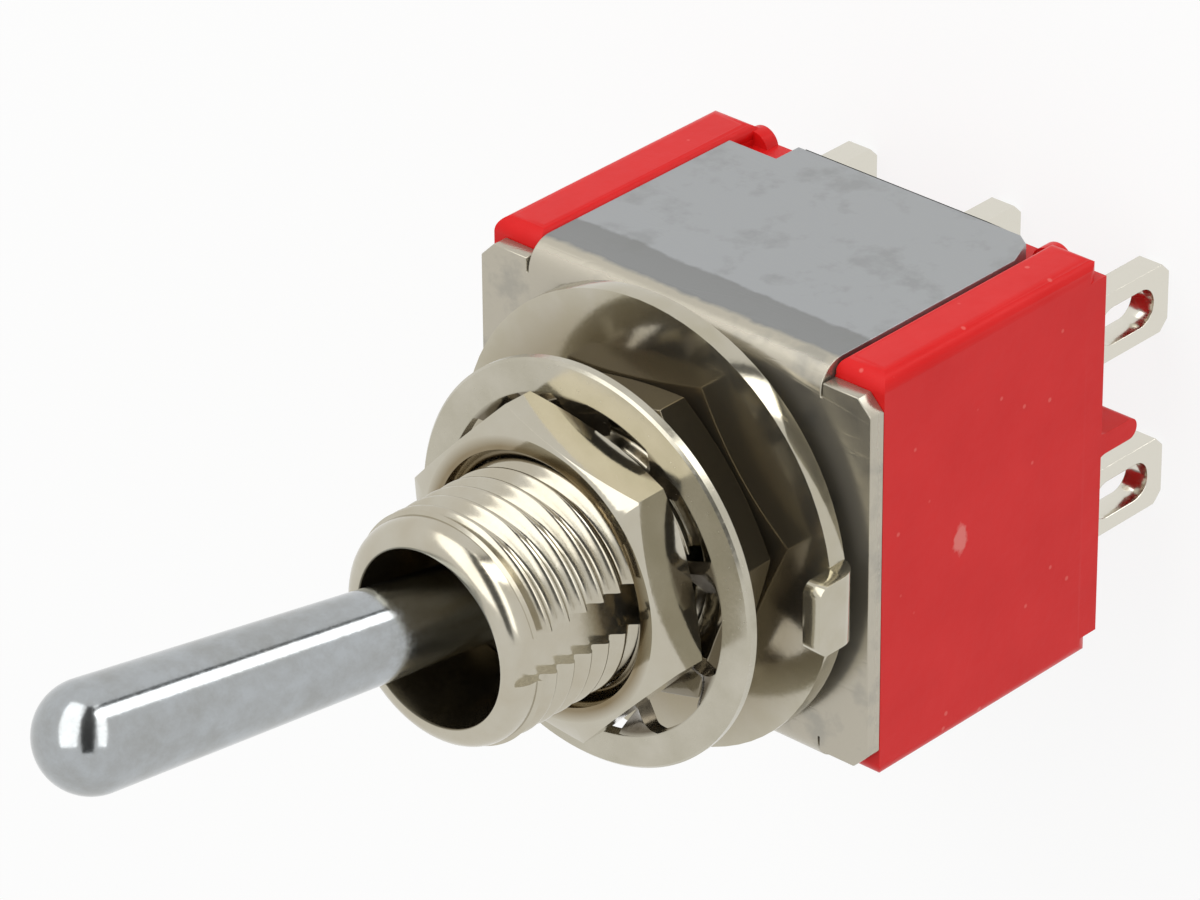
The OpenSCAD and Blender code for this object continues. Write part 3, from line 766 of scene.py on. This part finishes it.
@dataclass(frozen=True)
class DrawnMetal(Finish):
    """Bare drawn or rolled metal: a soft sheen, broken up by the marks of the die or roll.

    Attributes:
        line: Spacing of the marks, in millimetres. Real ones are near 0.01, too fine to show,
            so they are drawn coarser.
        line_height: Height of the marks, in millimetres.
    """

    line: float = 0.06
    line_height: float = 0.001

    def detail(self, tree: Tree, shader: Node, place: Socket) -> None:
        """Add the marks of the die or roll."""
        lines = add_node(tree, "ShaderNodeTexNoise",
                         {"Vector": place, "Scale": per_mm(self.line), "Detail": 2.0})
        self.vary_roughness(tree, shader, lines.outputs["Fac"], 0.7, 1.4)
        self.emboss(tree, shader, lines.outputs["Fac"], self.line_height)


# Each nickel finish below carries painted brown shade near the axis: in the bushing's bore, the
# front nut's countersink, the ring's face, the rear nut and the washer's teeth, where the parts
# shade one another.
BUSHING_NICKEL = NickelPlate("turned_brass_nickel_plated", "#B5AE9C", 0.17, 0.95,
                             painted_shade_r=2.42, painted_shade_fade=0.03, painted_shade_colour="#665B45",
                             painted_shade_share=1.0)
FRONT_NUT_NICKEL = NickelPlate("milled_brass_nickel_plated", "#B7B1A0", 0.09, 0.97,
                               painted_shade_r=3.6, painted_shade_fade=0.3, painted_shade_share=0.9)
RING_NICKEL = NickelPlate("stamped_steel_ring_nickel_plated", "#B3AD9A", 0.12, 0.92,
                              painted_shade_r=5.0, painted_shade_fade=1.4, painted_shade_share=0.55)
# The rear nut is a shaded copy of the nut's nickel: its darker base and stronger brown are painted
# shade, as it sits between the ring and the washer.
REAR_NUT_NICKEL = NickelPlate("milled_brass_nickel_plated_in_painted_shade", "#A8A18C", 0.13, 0.92,
                              painted_shade_r=4.9, painted_shade_fade=0.5, painted_shade_colour="#55482F",
                              painted_shade_share=0.75)
WASHER_NICKEL = NickelPlate("stamped_spring_steel_nickel_plated", "#B1AC9B", 0.22, 0.9,
                            painted_shade_r=4.6, painted_shade_centre=WASHER_SHIFT,
                            painted_shade_fade=0.14, painted_shade_colour="#4F4330", painted_shade_share=0.92)
LEVER_CHROME = ChromePlate("polished_brass_chrome_plated", "#ACB0B2", 0.15)
COVER_NICKEL = SatinSheet("folded_steel_dull_nickel", "#A2A4A5", 0.4, 0.8)
CASE_RED = MouldedThermoset("moulded_diallyl_phthalate_red", "#CC1212", 0.36, 0.0)
LUG_TIN = TinPlate("brass_lug_hot_tinned", "#D6D2C6", 0.16)
CARRIAGE_NYLON = MouldedNylon("moulded_nylon_natural", "#E3DCC6", 0.42, 0.0)
PLUNGER_BRASS = DrawnMetal("drawn_brass_rod", "#C9A765", 0.2)
SPRING_STEEL = DrawnMetal("spring_steel_music_wire", "#9A9C9E", 0.22)
CONTACT_SILVER = DrawnMetal("rolled_copper_silver_clad", "#C9BFB0", 0.2)


# ------------------------------------------------------------- sub-assemblies


@dataclass
class Bushing:
    """The turned bushing with its long thread and keyway. Sizes are in millimetres.

    Attributes:
        root_r: Radius at the bottom of the thread.
        fade: Height over which the last turn sinks to the lip's radius.
        run_out: Height of the step from the thread to the lip.
        lip_round: Radius of the lip's rounded edge.
        back_edge: Bevel at the back of the shoulder.
        front_edge: Bevel at the front of the shoulder.
        mouth_edge: Bevel at the mouth of the bore.
        rim_low: Height of the lower end of the rim inside the cover.
        plate_back: Height of the back of the cover's plate.
        throat_r: Radius of the narrowest place, above the lever's ball.
        keyway_floor: Distance of the keyway's floor from the axis.
        rows_per_pitch: Rings of vertices in each turn of the thread.
    """

    thread_r: float = 3.175
    root_r: float = 2.88
    pitch: float = 0.635
    thread_start: float = 0.5
    thread_end: float = 8.3
    fade: float = 0.12
    run_out: float = 0.06
    lip_r: float = 3.07
    lip_round: float = 0.5625
    height: float = 9.05
    shoulder_r: float = 4.2
    back_edge: float = 0.06
    front_edge: float = 0.08
    neck_r: float = 3.6
    rim_r: float = 3.9
    rim_low: float = -0.95
    plate_back: float = -0.5
    front_bore_r: float = 2.4
    mouth_edge: float = 0.05
    throat_r: float = 1.75
    seat_r: float = 2.25
    pivot_z: float = 4.86
    keyway_w: float = 1.15
    keyway_floor: float = 2.78
    keyway_turn: float = 6.0
    rows_per_pitch: int = 16

    def outline(self) -> list[Point]:
        """Return the half section, from the rim up the outside and down the bore."""
        seat_top = math.degrees(math.acos(self.throat_r / self.seat_r))
        throat_z = self.pivot_z + math.sqrt(self.seat_r ** 2 - self.throat_r ** 2)
        cone_top = throat_z + self.front_bore_r - self.throat_r
        span = self.thread_end - self.thread_start
        rows = round(span / self.pitch * self.rows_per_pitch)
        threaded = [(self.thread_r, self.thread_start + span * i / rows)
                    for i in range(rows + 1)]
        lip = arc((self.lip_r - self.lip_round, self.height - self.lip_round),
                  self.lip_round, 0, 90, 8)
        bore = [(self.front_bore_r + self.mouth_edge, self.height),
                (self.front_bore_r, self.height - self.mouth_edge),
                (self.front_bore_r, cone_top), (self.throat_r, throat_z)]
        seat = arc((0, self.pivot_z), self.seat_r, seat_top, 0, 12)[1:]
        return [(self.seat_r, self.rim_low), (self.rim_r, self.rim_low),
                (self.rim_r, self.plate_back), (self.neck_r, self.plate_back),
                (self.neck_r, 0.0), (self.shoulder_r - self.back_edge, 0.0),
                (self.shoulder_r, self.back_edge),
                (self.shoulder_r, self.thread_start - self.front_edge),
                (self.shoulder_r - self.front_edge, self.thread_start),
                *threaded, (self.lip_r, self.thread_end + self.run_out),
                *lip, *bore, *seat]

    def groove(self, angle: float, height: float) -> float:
        """Radius of the rolled thread at an angle in radians and a height."""
        turns = (height - self.thread_start) / self.pitch - angle / math.tau
        wave = 0.5 - 0.5 * math.cos(math.tau * turns)
        depth = self.thread_r - self.root_r
        near_end = min(1.0, max(0.0, (self.thread_end - height) / self.fade))
        ceiling = self.lip_r + (self.thread_r - self.lip_r) * near_end
        return min(self.root_r + depth * wave, ceiling)

    def build(self) -> None:
        """Turn the bushing, roll its thread, mill its keyway and dress it."""
        piece = turn("bushing_body", self.outline())
        # The first and last ring of the thread stay round, to meet the shoulder and the lip.
        low = (self.thread_start + 0.02) * MM
        high = (self.thread_end - 0.005) * MM
        for vertex in piece.data.vertices:
            spot = vertex.co
            radius = math.hypot(spot.x, spot.y)
            if low < spot.z < high and radius > (self.thread_r - 0.01) * MM:
                angle = math.atan2(spot.y, spot.x)
                scale = self.groove(angle, spot.z / MM) * MM / radius
                spot.x, spot.y = spot.x * scale, spot.y * scale
        half = self.keyway_w / 2
        outside = self.keyway_floor + 2
        key = slab("keyway_cutter",
                   [(self.keyway_floor, -half), (outside, -half),
                    (outside, half), (self.keyway_floor, half)],
                   self.thread_start, self.height,
                   Matrix.Rotation(math.radians(self.keyway_turn), 3, "Z"))
        carve(piece, key, Cut.REMOVE)
        shade(piece, 50.0)
        fit(piece, BUSHING_NICKEL, Body.HOUSING, "bushing", "bushing")


@dataclass
class Nut:
    """One milled hexagon nut. Sizes are in millimetres, angles in degrees.

    Attributes:
        name: Name of the new piece.
        node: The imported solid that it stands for.
        low: Height of its lower face.
        turned: Turn of its first corner about the axis.
        chamfer_in: Radius at which the chamfers meet the end faces.
        chamfer_slope: Slope of the chamfers.
        sink: Depth of the countersink at each end of the bore.
        edge: Width of the rounding of its edges.
        finish: Its finish.
    """

    name: str
    node: str
    low: float
    turned: float
    across_flats: float = 8.0
    thickness: float = 1.5
    chamfer_in: float = 3.9
    chamfer_slope: float = 22.0
    bore_r: float = 3.205
    sink: float = 0.3
    edge: float = 0.08
    finish: Finish = FRONT_NUT_NICKEL

    def build(self) -> None:
        """Saw the hexagon, chamfer both ends, bore, countersink and dress it."""
        corner = self.across_flats / 2 / math.cos(math.radians(30))
        high = self.low + self.thickness
        wide_r = corner + 0.5  # the cone is cut wider than the hexagon's corners
        drop = (wide_r - self.chamfer_in) * math.tan(math.radians(self.chamfer_slope))
        corners = arc((0, 0), corner, self.turned, self.turned + 300, 5)
        piece = slab(self.name, corners, self.low, self.thickness, Matrix.Identity(3))
        cone = turn("chamfer", [(0, self.low), (self.chamfer_in, self.low),
                                (wide_r, self.low + drop), (wide_r, high - drop),
                                (self.chamfer_in, high), (0, high)])
        carve(piece, cone, Cut.KEEP_COMMON)
        wide = self.bore_r + self.sink + OVERLAP
        tap = turn("tap", [(0, self.low - OVERLAP), (wide, self.low - OVERLAP),
                           (self.bore_r, self.low + self.sink),
                           (self.bore_r, high - self.sink),
                           (wide, high + OVERLAP), (0, high + OVERLAP)])
        carve(piece, tap, Cut.REMOVE)
        soften(piece, self.edge, angle=18.0)
        fit(piece, self.finish, Body.HOUSING, "nut", self.node)


@dataclass
class LockWasher:
    """The stamped washer with its inner teeth twisted. Sizes are in millimetres.

    Attributes:
        shift: How far the loose washer hangs off the axis, along X and Y.
        rim_r: Inner radius of its flat rim.
        rim_hold: How far each tooth reaches into the rim that it is joined to.
        tooth_in: Distance of the teeth's tips from the washer's middle.
        turned: Turn of the first tooth, in degrees.
        twist: Twist of each tooth at its tip, in degrees.
        twist_run: Length over which a tooth takes its full twist.
        root_flare: Radius of the fillets at a tooth's root.
        edge: Bevel of the rim's outer edges.
        tooth_rows: Rows of faces along and across a tooth.
    """

    shift: Point = WASHER_SHIFT
    outer_r: float = 5.6
    rim_r: float = 4.7
    rim_hold: float = 0.3
    tooth_in: float = 3.483
    thickness: float = 0.36
    teeth: int = 9
    turned: float = 19.0
    twist: float = 40.0
    twist_run: float = 0.55
    tooth_w: float = 1.02
    root_flare: float = 0.42
    edge: float = 0.07
    tooth_rows: tuple[int, int] = (18, 6)

    def tooth(self, centre_z: float) -> Piece:
        """Raise one tooth from a strip: flared at its root and twisted towards its tip."""
        clear_selection()
        reach = self.rim_r + self.rim_hold - self.tooth_in
        along_rows, across_rows = self.tooth_rows
        bpy.ops.mesh.primitive_grid_add(
            x_subdivisions=along_rows, y_subdivisions=across_rows, size=1.0,
            location=(0.0, 0.0, 0.0))
        strip = bpy.context.object
        strip.name = strip.data.name = "washer_tooth"
        for vertex in strip.data.vertices:
            along, across = vertex.co.x + 0.5, vertex.co.y - 0.5
            radius = self.tooth_in + reach * along
            near_rim = min(max((radius - self.rim_r + self.root_flare) / self.root_flare,
                               0.0), 1.0)
            flare = self.root_flare * (1 - math.sqrt(1 - near_rim ** 2))
            width = self.tooth_w + 2 * flare
            y = across * width + flare
            free = min(max((self.rim_r - radius) / self.twist_run, 0.0), 1.0)
            bend = math.radians(self.twist) * free * free * (3 - 2 * free)
            vertex.co = Vector((radius, y * math.cos(bend),
                                centre_z + y * math.sin(bend))) * MM
        modify(strip, "SOLIDIFY", thickness=self.thickness * MM, offset=0.0)
        drop_doubles_and_face_out(strip)
        return strip

    def build(self, high: float) -> None:
        """Stamp the rim, join the twisted teeth to it and dress it.

        Args:
            high: Height of the rim's front face, in millimetres.
        """
        centre = high - self.thickness / 2
        half = self.thickness / 2
        edge = self.edge
        piece = turn("lock_washer_body",
                     [(self.rim_r, centre - half), (self.outer_r - edge, centre - half),
                      (self.outer_r, centre - half + edge),
                      (self.outer_r, centre + half - edge),
                      (self.outer_r - edge, centre + half), (self.rim_r, centre + half)])
        pattern = self.tooth(centre)
        for index in range(self.teeth):
            tooth = pattern.copy()
            tooth.data = pattern.data.copy()
            bpy.context.scene.collection.objects.link(tooth)
            angle = math.radians(self.turned + 360 * index / self.teeth)
            tooth.data.transform(Matrix.Rotation(angle, 4, "Z"))
            carve(piece, tooth, Cut.ADD)
        bpy.data.objects.remove(pattern)
        piece.data.transform(Matrix.Translation((self.shift[0] * MM, self.shift[1] * MM, 0)))
        shade(piece, 35.0)
        fit(piece, WASHER_NICKEL, Body.HOUSING, "washer", "lock_washer")


@dataclass
class LockingRing:
    """The ring that keys the bushing to the panel. Sizes are in millimetres."""

    edge: float = 0.07

    def build(self) -> None:
        """Copy the stamped ring, round its edges and dress it."""
        piece = merged_copy("locking_ring", "locking_ring_body")
        soften(piece, self.edge, segments=3)
        fit(piece, RING_NICKEL, Body.HOUSING, "ring", "locking_ring")


@dataclass
class Lever:
    """The turned lever with its pivot ball and drive ball. Sizes are in millimetres.

    Attributes:
        pivot_z: Height of its pivot.
        throw: Lean at rest, in degrees.
        length: Distance from the pivot to the middle of the rounded tip.
        root_r: Radius where the tapered arm meets the pivot ball.
        waist_r: Radius where the ball meets the cone down to the drive ball.
        drive_l: Distance from the pivot to the middle of the drive ball.
        shank_r: Radius of the neck above the drive ball.
    """

    pivot_z: float = 4.86
    throw: float = 13.0
    length: float = 13.22
    tip_r: float = 1.47
    root_r: float = 1.12
    ball_r: float = 2.2
    waist_r: float = 1.0
    drive_l: float = 7.0
    drive_r: float = 0.85
    shank_r: float = 0.55

    def outline(self) -> list[Point]:
        """Return the half section along the lever, with the pivot at height 0."""
        drive_top = math.degrees(math.acos(self.shank_r / self.drive_r))
        ball_low = math.degrees(math.acos(self.waist_r / self.ball_r))
        ball_high = math.degrees(math.acos(self.root_r / self.ball_r))
        drive = arc((0, -self.drive_l), self.drive_r, -90, drive_top, 20)
        ball = arc((0, 0), self.ball_r, -ball_low, ball_high, 40)
        tip = arc((0, self.length), self.tip_r, 0, 90, 24)
        return [(0.0, drive[0][1]), *drive[1:], *ball, *tip[:-1], (0.0, tip[-1][1])]

    def build(self) -> None:
        """Turn the lever, lean it to its throw and dress it."""
        piece = turn("lever_body", self.outline())
        lean = Matrix.Rotation(math.radians(-self.throw), 4, "Y")
        piece.data.transform(Matrix.Translation((0, 0, self.pivot_z * MM)) @ lean)
        shade(piece, 30.0)
        fit(piece, LEVER_CHROME, Body.LEVER, "lever", "lever")


@dataclass
class Cover:
    """The folded cover plate with its two side flanges and crimp tabs."""

    edge: float = 0.05

    def build(self) -> None:
        """Copy the folded sheet, break its edges and dress it."""
        piece = merged_copy("frame_cover", "cover_sheet")
        soften(piece, self.edge)
        fit(piece, COVER_NICKEL, Body.HOUSING, "cover", "frame_cover")


@dataclass
class Case:
    """The moulded case with its ears and the rib between the rows of lugs."""

    edge: float = 0.08

    def build(self) -> None:
        """Copy the moulding, round its edges and dress it."""
        piece = merged_copy("case", "case_moulding")
        soften(piece, self.edge, segments=3)
        fit(piece, CASE_RED, Body.HOUSING, "case", "case")


@dataclass
class Lugs:
    """The six solder lugs, each with the contact inside the case."""

    rows: str = "ab"
    places: str = "123"
    edge: float = 0.06

    def build(self) -> None:
        """Copy each stamped lug, round its edges and dress it."""
        for row in self.rows:
            for place in self.places:
                piece = merged_copy(f"terminal_{row}{place}", f"lug_{row}{place}")
                soften(piece, self.edge)
                fit(piece, LUG_TIN, Body.HOUSING, "lug", f"terminal_{row}{place}")


@dataclass
class Inside:
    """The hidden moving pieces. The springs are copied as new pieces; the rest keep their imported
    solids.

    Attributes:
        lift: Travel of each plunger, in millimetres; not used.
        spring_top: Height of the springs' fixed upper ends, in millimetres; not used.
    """

    lift: float = 0.5
    spring_top: float = -1.55

    def dress(self, node: str, finish: Finish) -> None:
        """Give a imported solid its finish."""
        solid = bpy.data.objects[node]
        solid.data.materials.clear()
        solid.data.materials.append(finish.material())
        LOG.info("%s: packed solid, %s", node, finish.name)

    def coil(self, row: str) -> None:
        """Copy one spring and hang it on the carriage."""
        node = f"spring_{row}"
        piece = merged_copy(node, f"spring_wire_{row}")
        shade(piece)
        fit(piece, SPRING_STEEL, Body.CARRIAGE, "spring", node)
        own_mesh(piece)

    def build(self) -> None:
        """Dress the carriage and both plungers and contacts, and make both springs."""
        self.dress("carriage", CARRIAGE_NYLON)
        for row in "ab":
            self.dress(f"plunger_{row}", PLUNGER_BRASS)
            self.dress(f"rocker_{row}", CONTACT_SILVER)
            self.coil(row)


# -------------------------------------------------------------------- studio


@dataclass
class Studio:
    """The floor, the world, the lamps and the camera.

    Attributes:
        floor_z: Height of the floor, at the lugs' tips, in millimetres.
        floor_size: Side of the floor, in millimetres.
        floor_white: How far the floor shows as plain white to the lens, from 0 to 1.
        lens: Focal length of the lens, in millimetres.
        sensor: Width of the sensor, in millimetres.
        clip: Nearest and furthest distance that the camera shows, in metres.
        eye: Place of the camera, in metres.
        right: Direction to the right of the lens.
        up: Direction above the lens.
        back: Direction from the switch to the lens.
        target: The point that the lamps face, in metres.
        lamp_distance: Distance of lamps and cards from that point, in metres.
        world_level: Brightness of the light from all round, where 1 is white.
    """

    floor_z: float = -13.45
    floor_size: float = 2000.0
    floor_white: float = 0.85
    lens: float = 208.5
    sensor: float = 36.0
    clip: Point = (0.01, 10.0)
    eye: Point3 = (0.10299, 0.08851, 0.11458)
    right: Point3 = (0.7385, -0.0075, -0.6742)
    up: Point3 = (-0.3265, 0.8709, -0.3673)
    back: Point3 = (0.5899, 0.4914, 0.6408)
    target: Point3 = (-0.002, 0.0, 0.0005)
    lamp_distance: float = 0.6
    world_level: float = 0.62

    def camera(self) -> None:
        """Set the camera on the far right of the throw, above the lugs' floor."""
        data = bpy.data.cameras.new("camera")
        data.lens, data.sensor_width = self.lens, self.sensor
        data.clip_start, data.clip_end = self.clip
        camera = bpy.data.objects.new("camera", data)
        bpy.context.scene.collection.objects.link(camera)
        axes = Matrix((self.right, self.up, self.back)).transposed().to_4x4()
        camera.matrix_world = Matrix.Translation(self.eye) @ axes
        bpy.context.scene.camera = camera

    def world(self) -> None:
        """Light softly from all round, and show white to the lens and in reflections."""
        world = bpy.data.worlds.new("studio")
        bpy.context.scene.world = world
        world.use_nodes = True
        tree = world.node_tree
        rays = add_node(tree, "ShaderNodeLightPath")
        seen = add_node(tree, "ShaderNodeMath", {0: rays.outputs["Is Camera Ray"],
                                                 1: rays.outputs["Is Glossy Ray"]},
                        operation="MAXIMUM")
        level = add_node(tree, "ShaderNodeMapRange", {"Value": seen.outputs[0],
                                                      "To Min": self.world_level})
        sky = tree.nodes["Background"]
        sky.inputs["Color"].default_value = (1.0, 1.0, 1.0, 1.0)
        tree.links.new(level.outputs["Result"], sky.inputs["Strength"])

    def floor(self) -> None:
        """Lay the pale floor under the lugs."""
        clear_selection()
        bpy.ops.mesh.primitive_plane_add(size=self.floor_size * MM,
                                         location=(0, 0, self.floor_z * MM))
        floor = bpy.context.object
        floor.name = "floor"
        paint = bpy.data.materials.new("matt_white_board")
        paint.use_nodes = True
        tree = paint.node_tree
        rays = add_node(tree, "ShaderNodeLightPath")
        share = add_node(tree, "ShaderNodeMath",
                         {0: rays.outputs["Is Camera Ray"], 1: self.floor_white},
                         operation="MULTIPLY")
        board = add_node(tree, "ShaderNodeBsdfDiffuse", {"Color": linear("#F4F4F2")})
        glow = add_node(tree, "ShaderNodeEmission", {"Strength": 1.0})
        mixed = add_node(tree, "ShaderNodeMixShader",
                         {0: share.outputs[0], 1: board.outputs[0], 2: glow.outputs[0]})
        tree.links.new(mixed.outputs[0],
                       tree.nodes["Material Output"].inputs["Surface"])
        floor.data.materials.append(paint)
        # Bright metal looks past the floor, so that it mirrors the lamp that hangs below it.
        floor.visible_glossy = False

    def facing(self, turned: float, raised: float, away: float) -> Matrix:
        """Place and turn a flat thing so that it faces the switch, upright to the lens.

        Args:
            turned: Angle from the line of sight to the right, in degrees.
            raised: Angle above the line of sight, in degrees.
            away: Distance from the switch, in metres.

        Returns:
            The matrix that puts the thing there, with its front along local -Z.
        """
        turned, raised = math.radians(turned), math.radians(raised)
        right, up, back = Vector(self.right), Vector(self.up), Vector(self.back)
        line = (math.cos(raised) * (math.cos(turned) * back + math.sin(turned) * right)
                + math.sin(raised) * up)
        level = up.cross(line).normalized()
        axes = Matrix((level, line.cross(level), line)).transposed().to_4x4()
        return Matrix.Translation(Vector(self.target) + line * away) @ axes

    def lamp(self, name: str, turned: float, raised: float, size: Point,
             glow: float) -> None:
        """Hang a soft box round the camera's line of sight.

        Args:
            name: Name of the lamp.
            turned: Angle from the line of sight to the right, in degrees.
            raised: Angle above the line of sight, in degrees.
            size: Width and height, in metres.
            glow: Brightness of its face, where 1 is white.
        """
        data = bpy.data.lights.new(name, "AREA")
        data.shape = "RECTANGLE"
        data.size, data.size_y = size
        data.energy = glow * math.pi * size[0] * size[1]
        lamp = bpy.data.objects.new(name, data)
        bpy.context.scene.collection.objects.link(lamp)
        lamp.matrix_world = self.facing(turned, raised, self.lamp_distance)

    def flag(self, name: str, turned: float, raised: float, size: Point,
             lifted: float = 0.0) -> None:
        """Stand a dark card beside the soft boxes, which only bright metal can see.

        Args:
            name: Name of the card.
            turned: Angle from the line of sight to the right, in degrees.
            raised: Angle above the line of sight, in degrees.
            size: Width and height, in metres.
            lifted: How far the card is slid up in its own plane, in metres.
        """
        clear_selection()
        bpy.ops.mesh.primitive_plane_add(size=1.0)
        card = bpy.context.object
        card.name = name
        card.matrix_world = (self.facing(turned, raised, self.lamp_distance)
                             @ Matrix.Translation((0.0, lifted, 0.0))
                             @ Matrix.Diagonal((*size, 1.0, 1.0)))
        paint = bpy.data.materials.new(f"matt_grey_{name}")
        paint.use_nodes = True
        shader = paint.node_tree.nodes["Principled BSDF"]
        shader.inputs["Base Color"].default_value = linear("#4A4A4A")
        shader.inputs["Roughness"].default_value = 0.9
        card.data.materials.append(paint)
        # Only mirror images hold the card: it gives bright metal its dark bands.
        card.visible_camera = card.visible_diffuse = card.visible_shadow = False

    def build(self) -> None:
        """Set up the camera, the light and the floor."""
        bpy.context.scene.view_settings.view_transform = "Standard"
        self.camera()
        self.world()
        self.floor()
        self.lamp("left_softbox", -40.0, 22.0, (0.44, 1.0), 1.6)
        self.lamp("right_softbox", 25.0, 22.0, (0.20, 1.0), 1.7)
        self.lamp("overhead_strip", 56.0, 46.6, (0.7, 0.2), 3.0)
        self.flag("dark_card", -3.0, 15.0, (0.30, 1.2))
        self.flag("strip_card", 56.0, 46.6, (0.7, 0.07), lifted=0.145)


def main() -> None:
    """Build the studio and every sub-assembly of the switch in order."""
    Studio().build()
    Cover().build()
    Case().build()
    Lugs().build()
    Bushing().build()
    LockingRing().build()
    Nut("rear_nut_body", "rear_nut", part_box("rear_nut")[0][2] / MM, 9.0,
        finish=REAR_NUT_NICKEL).build()
    LockWasher().build(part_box("lock_washer")[1][2] / MM)
    Nut("front_nut_body", "front_nut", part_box("front_nut")[0][2] / MM, 46.0).build()
    Lever().build()
    Inside().build()


if __name__ == "__main__":
    logging.basicConfig(level=logging.INFO, format="%(name)s %(message)s")
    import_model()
    main()
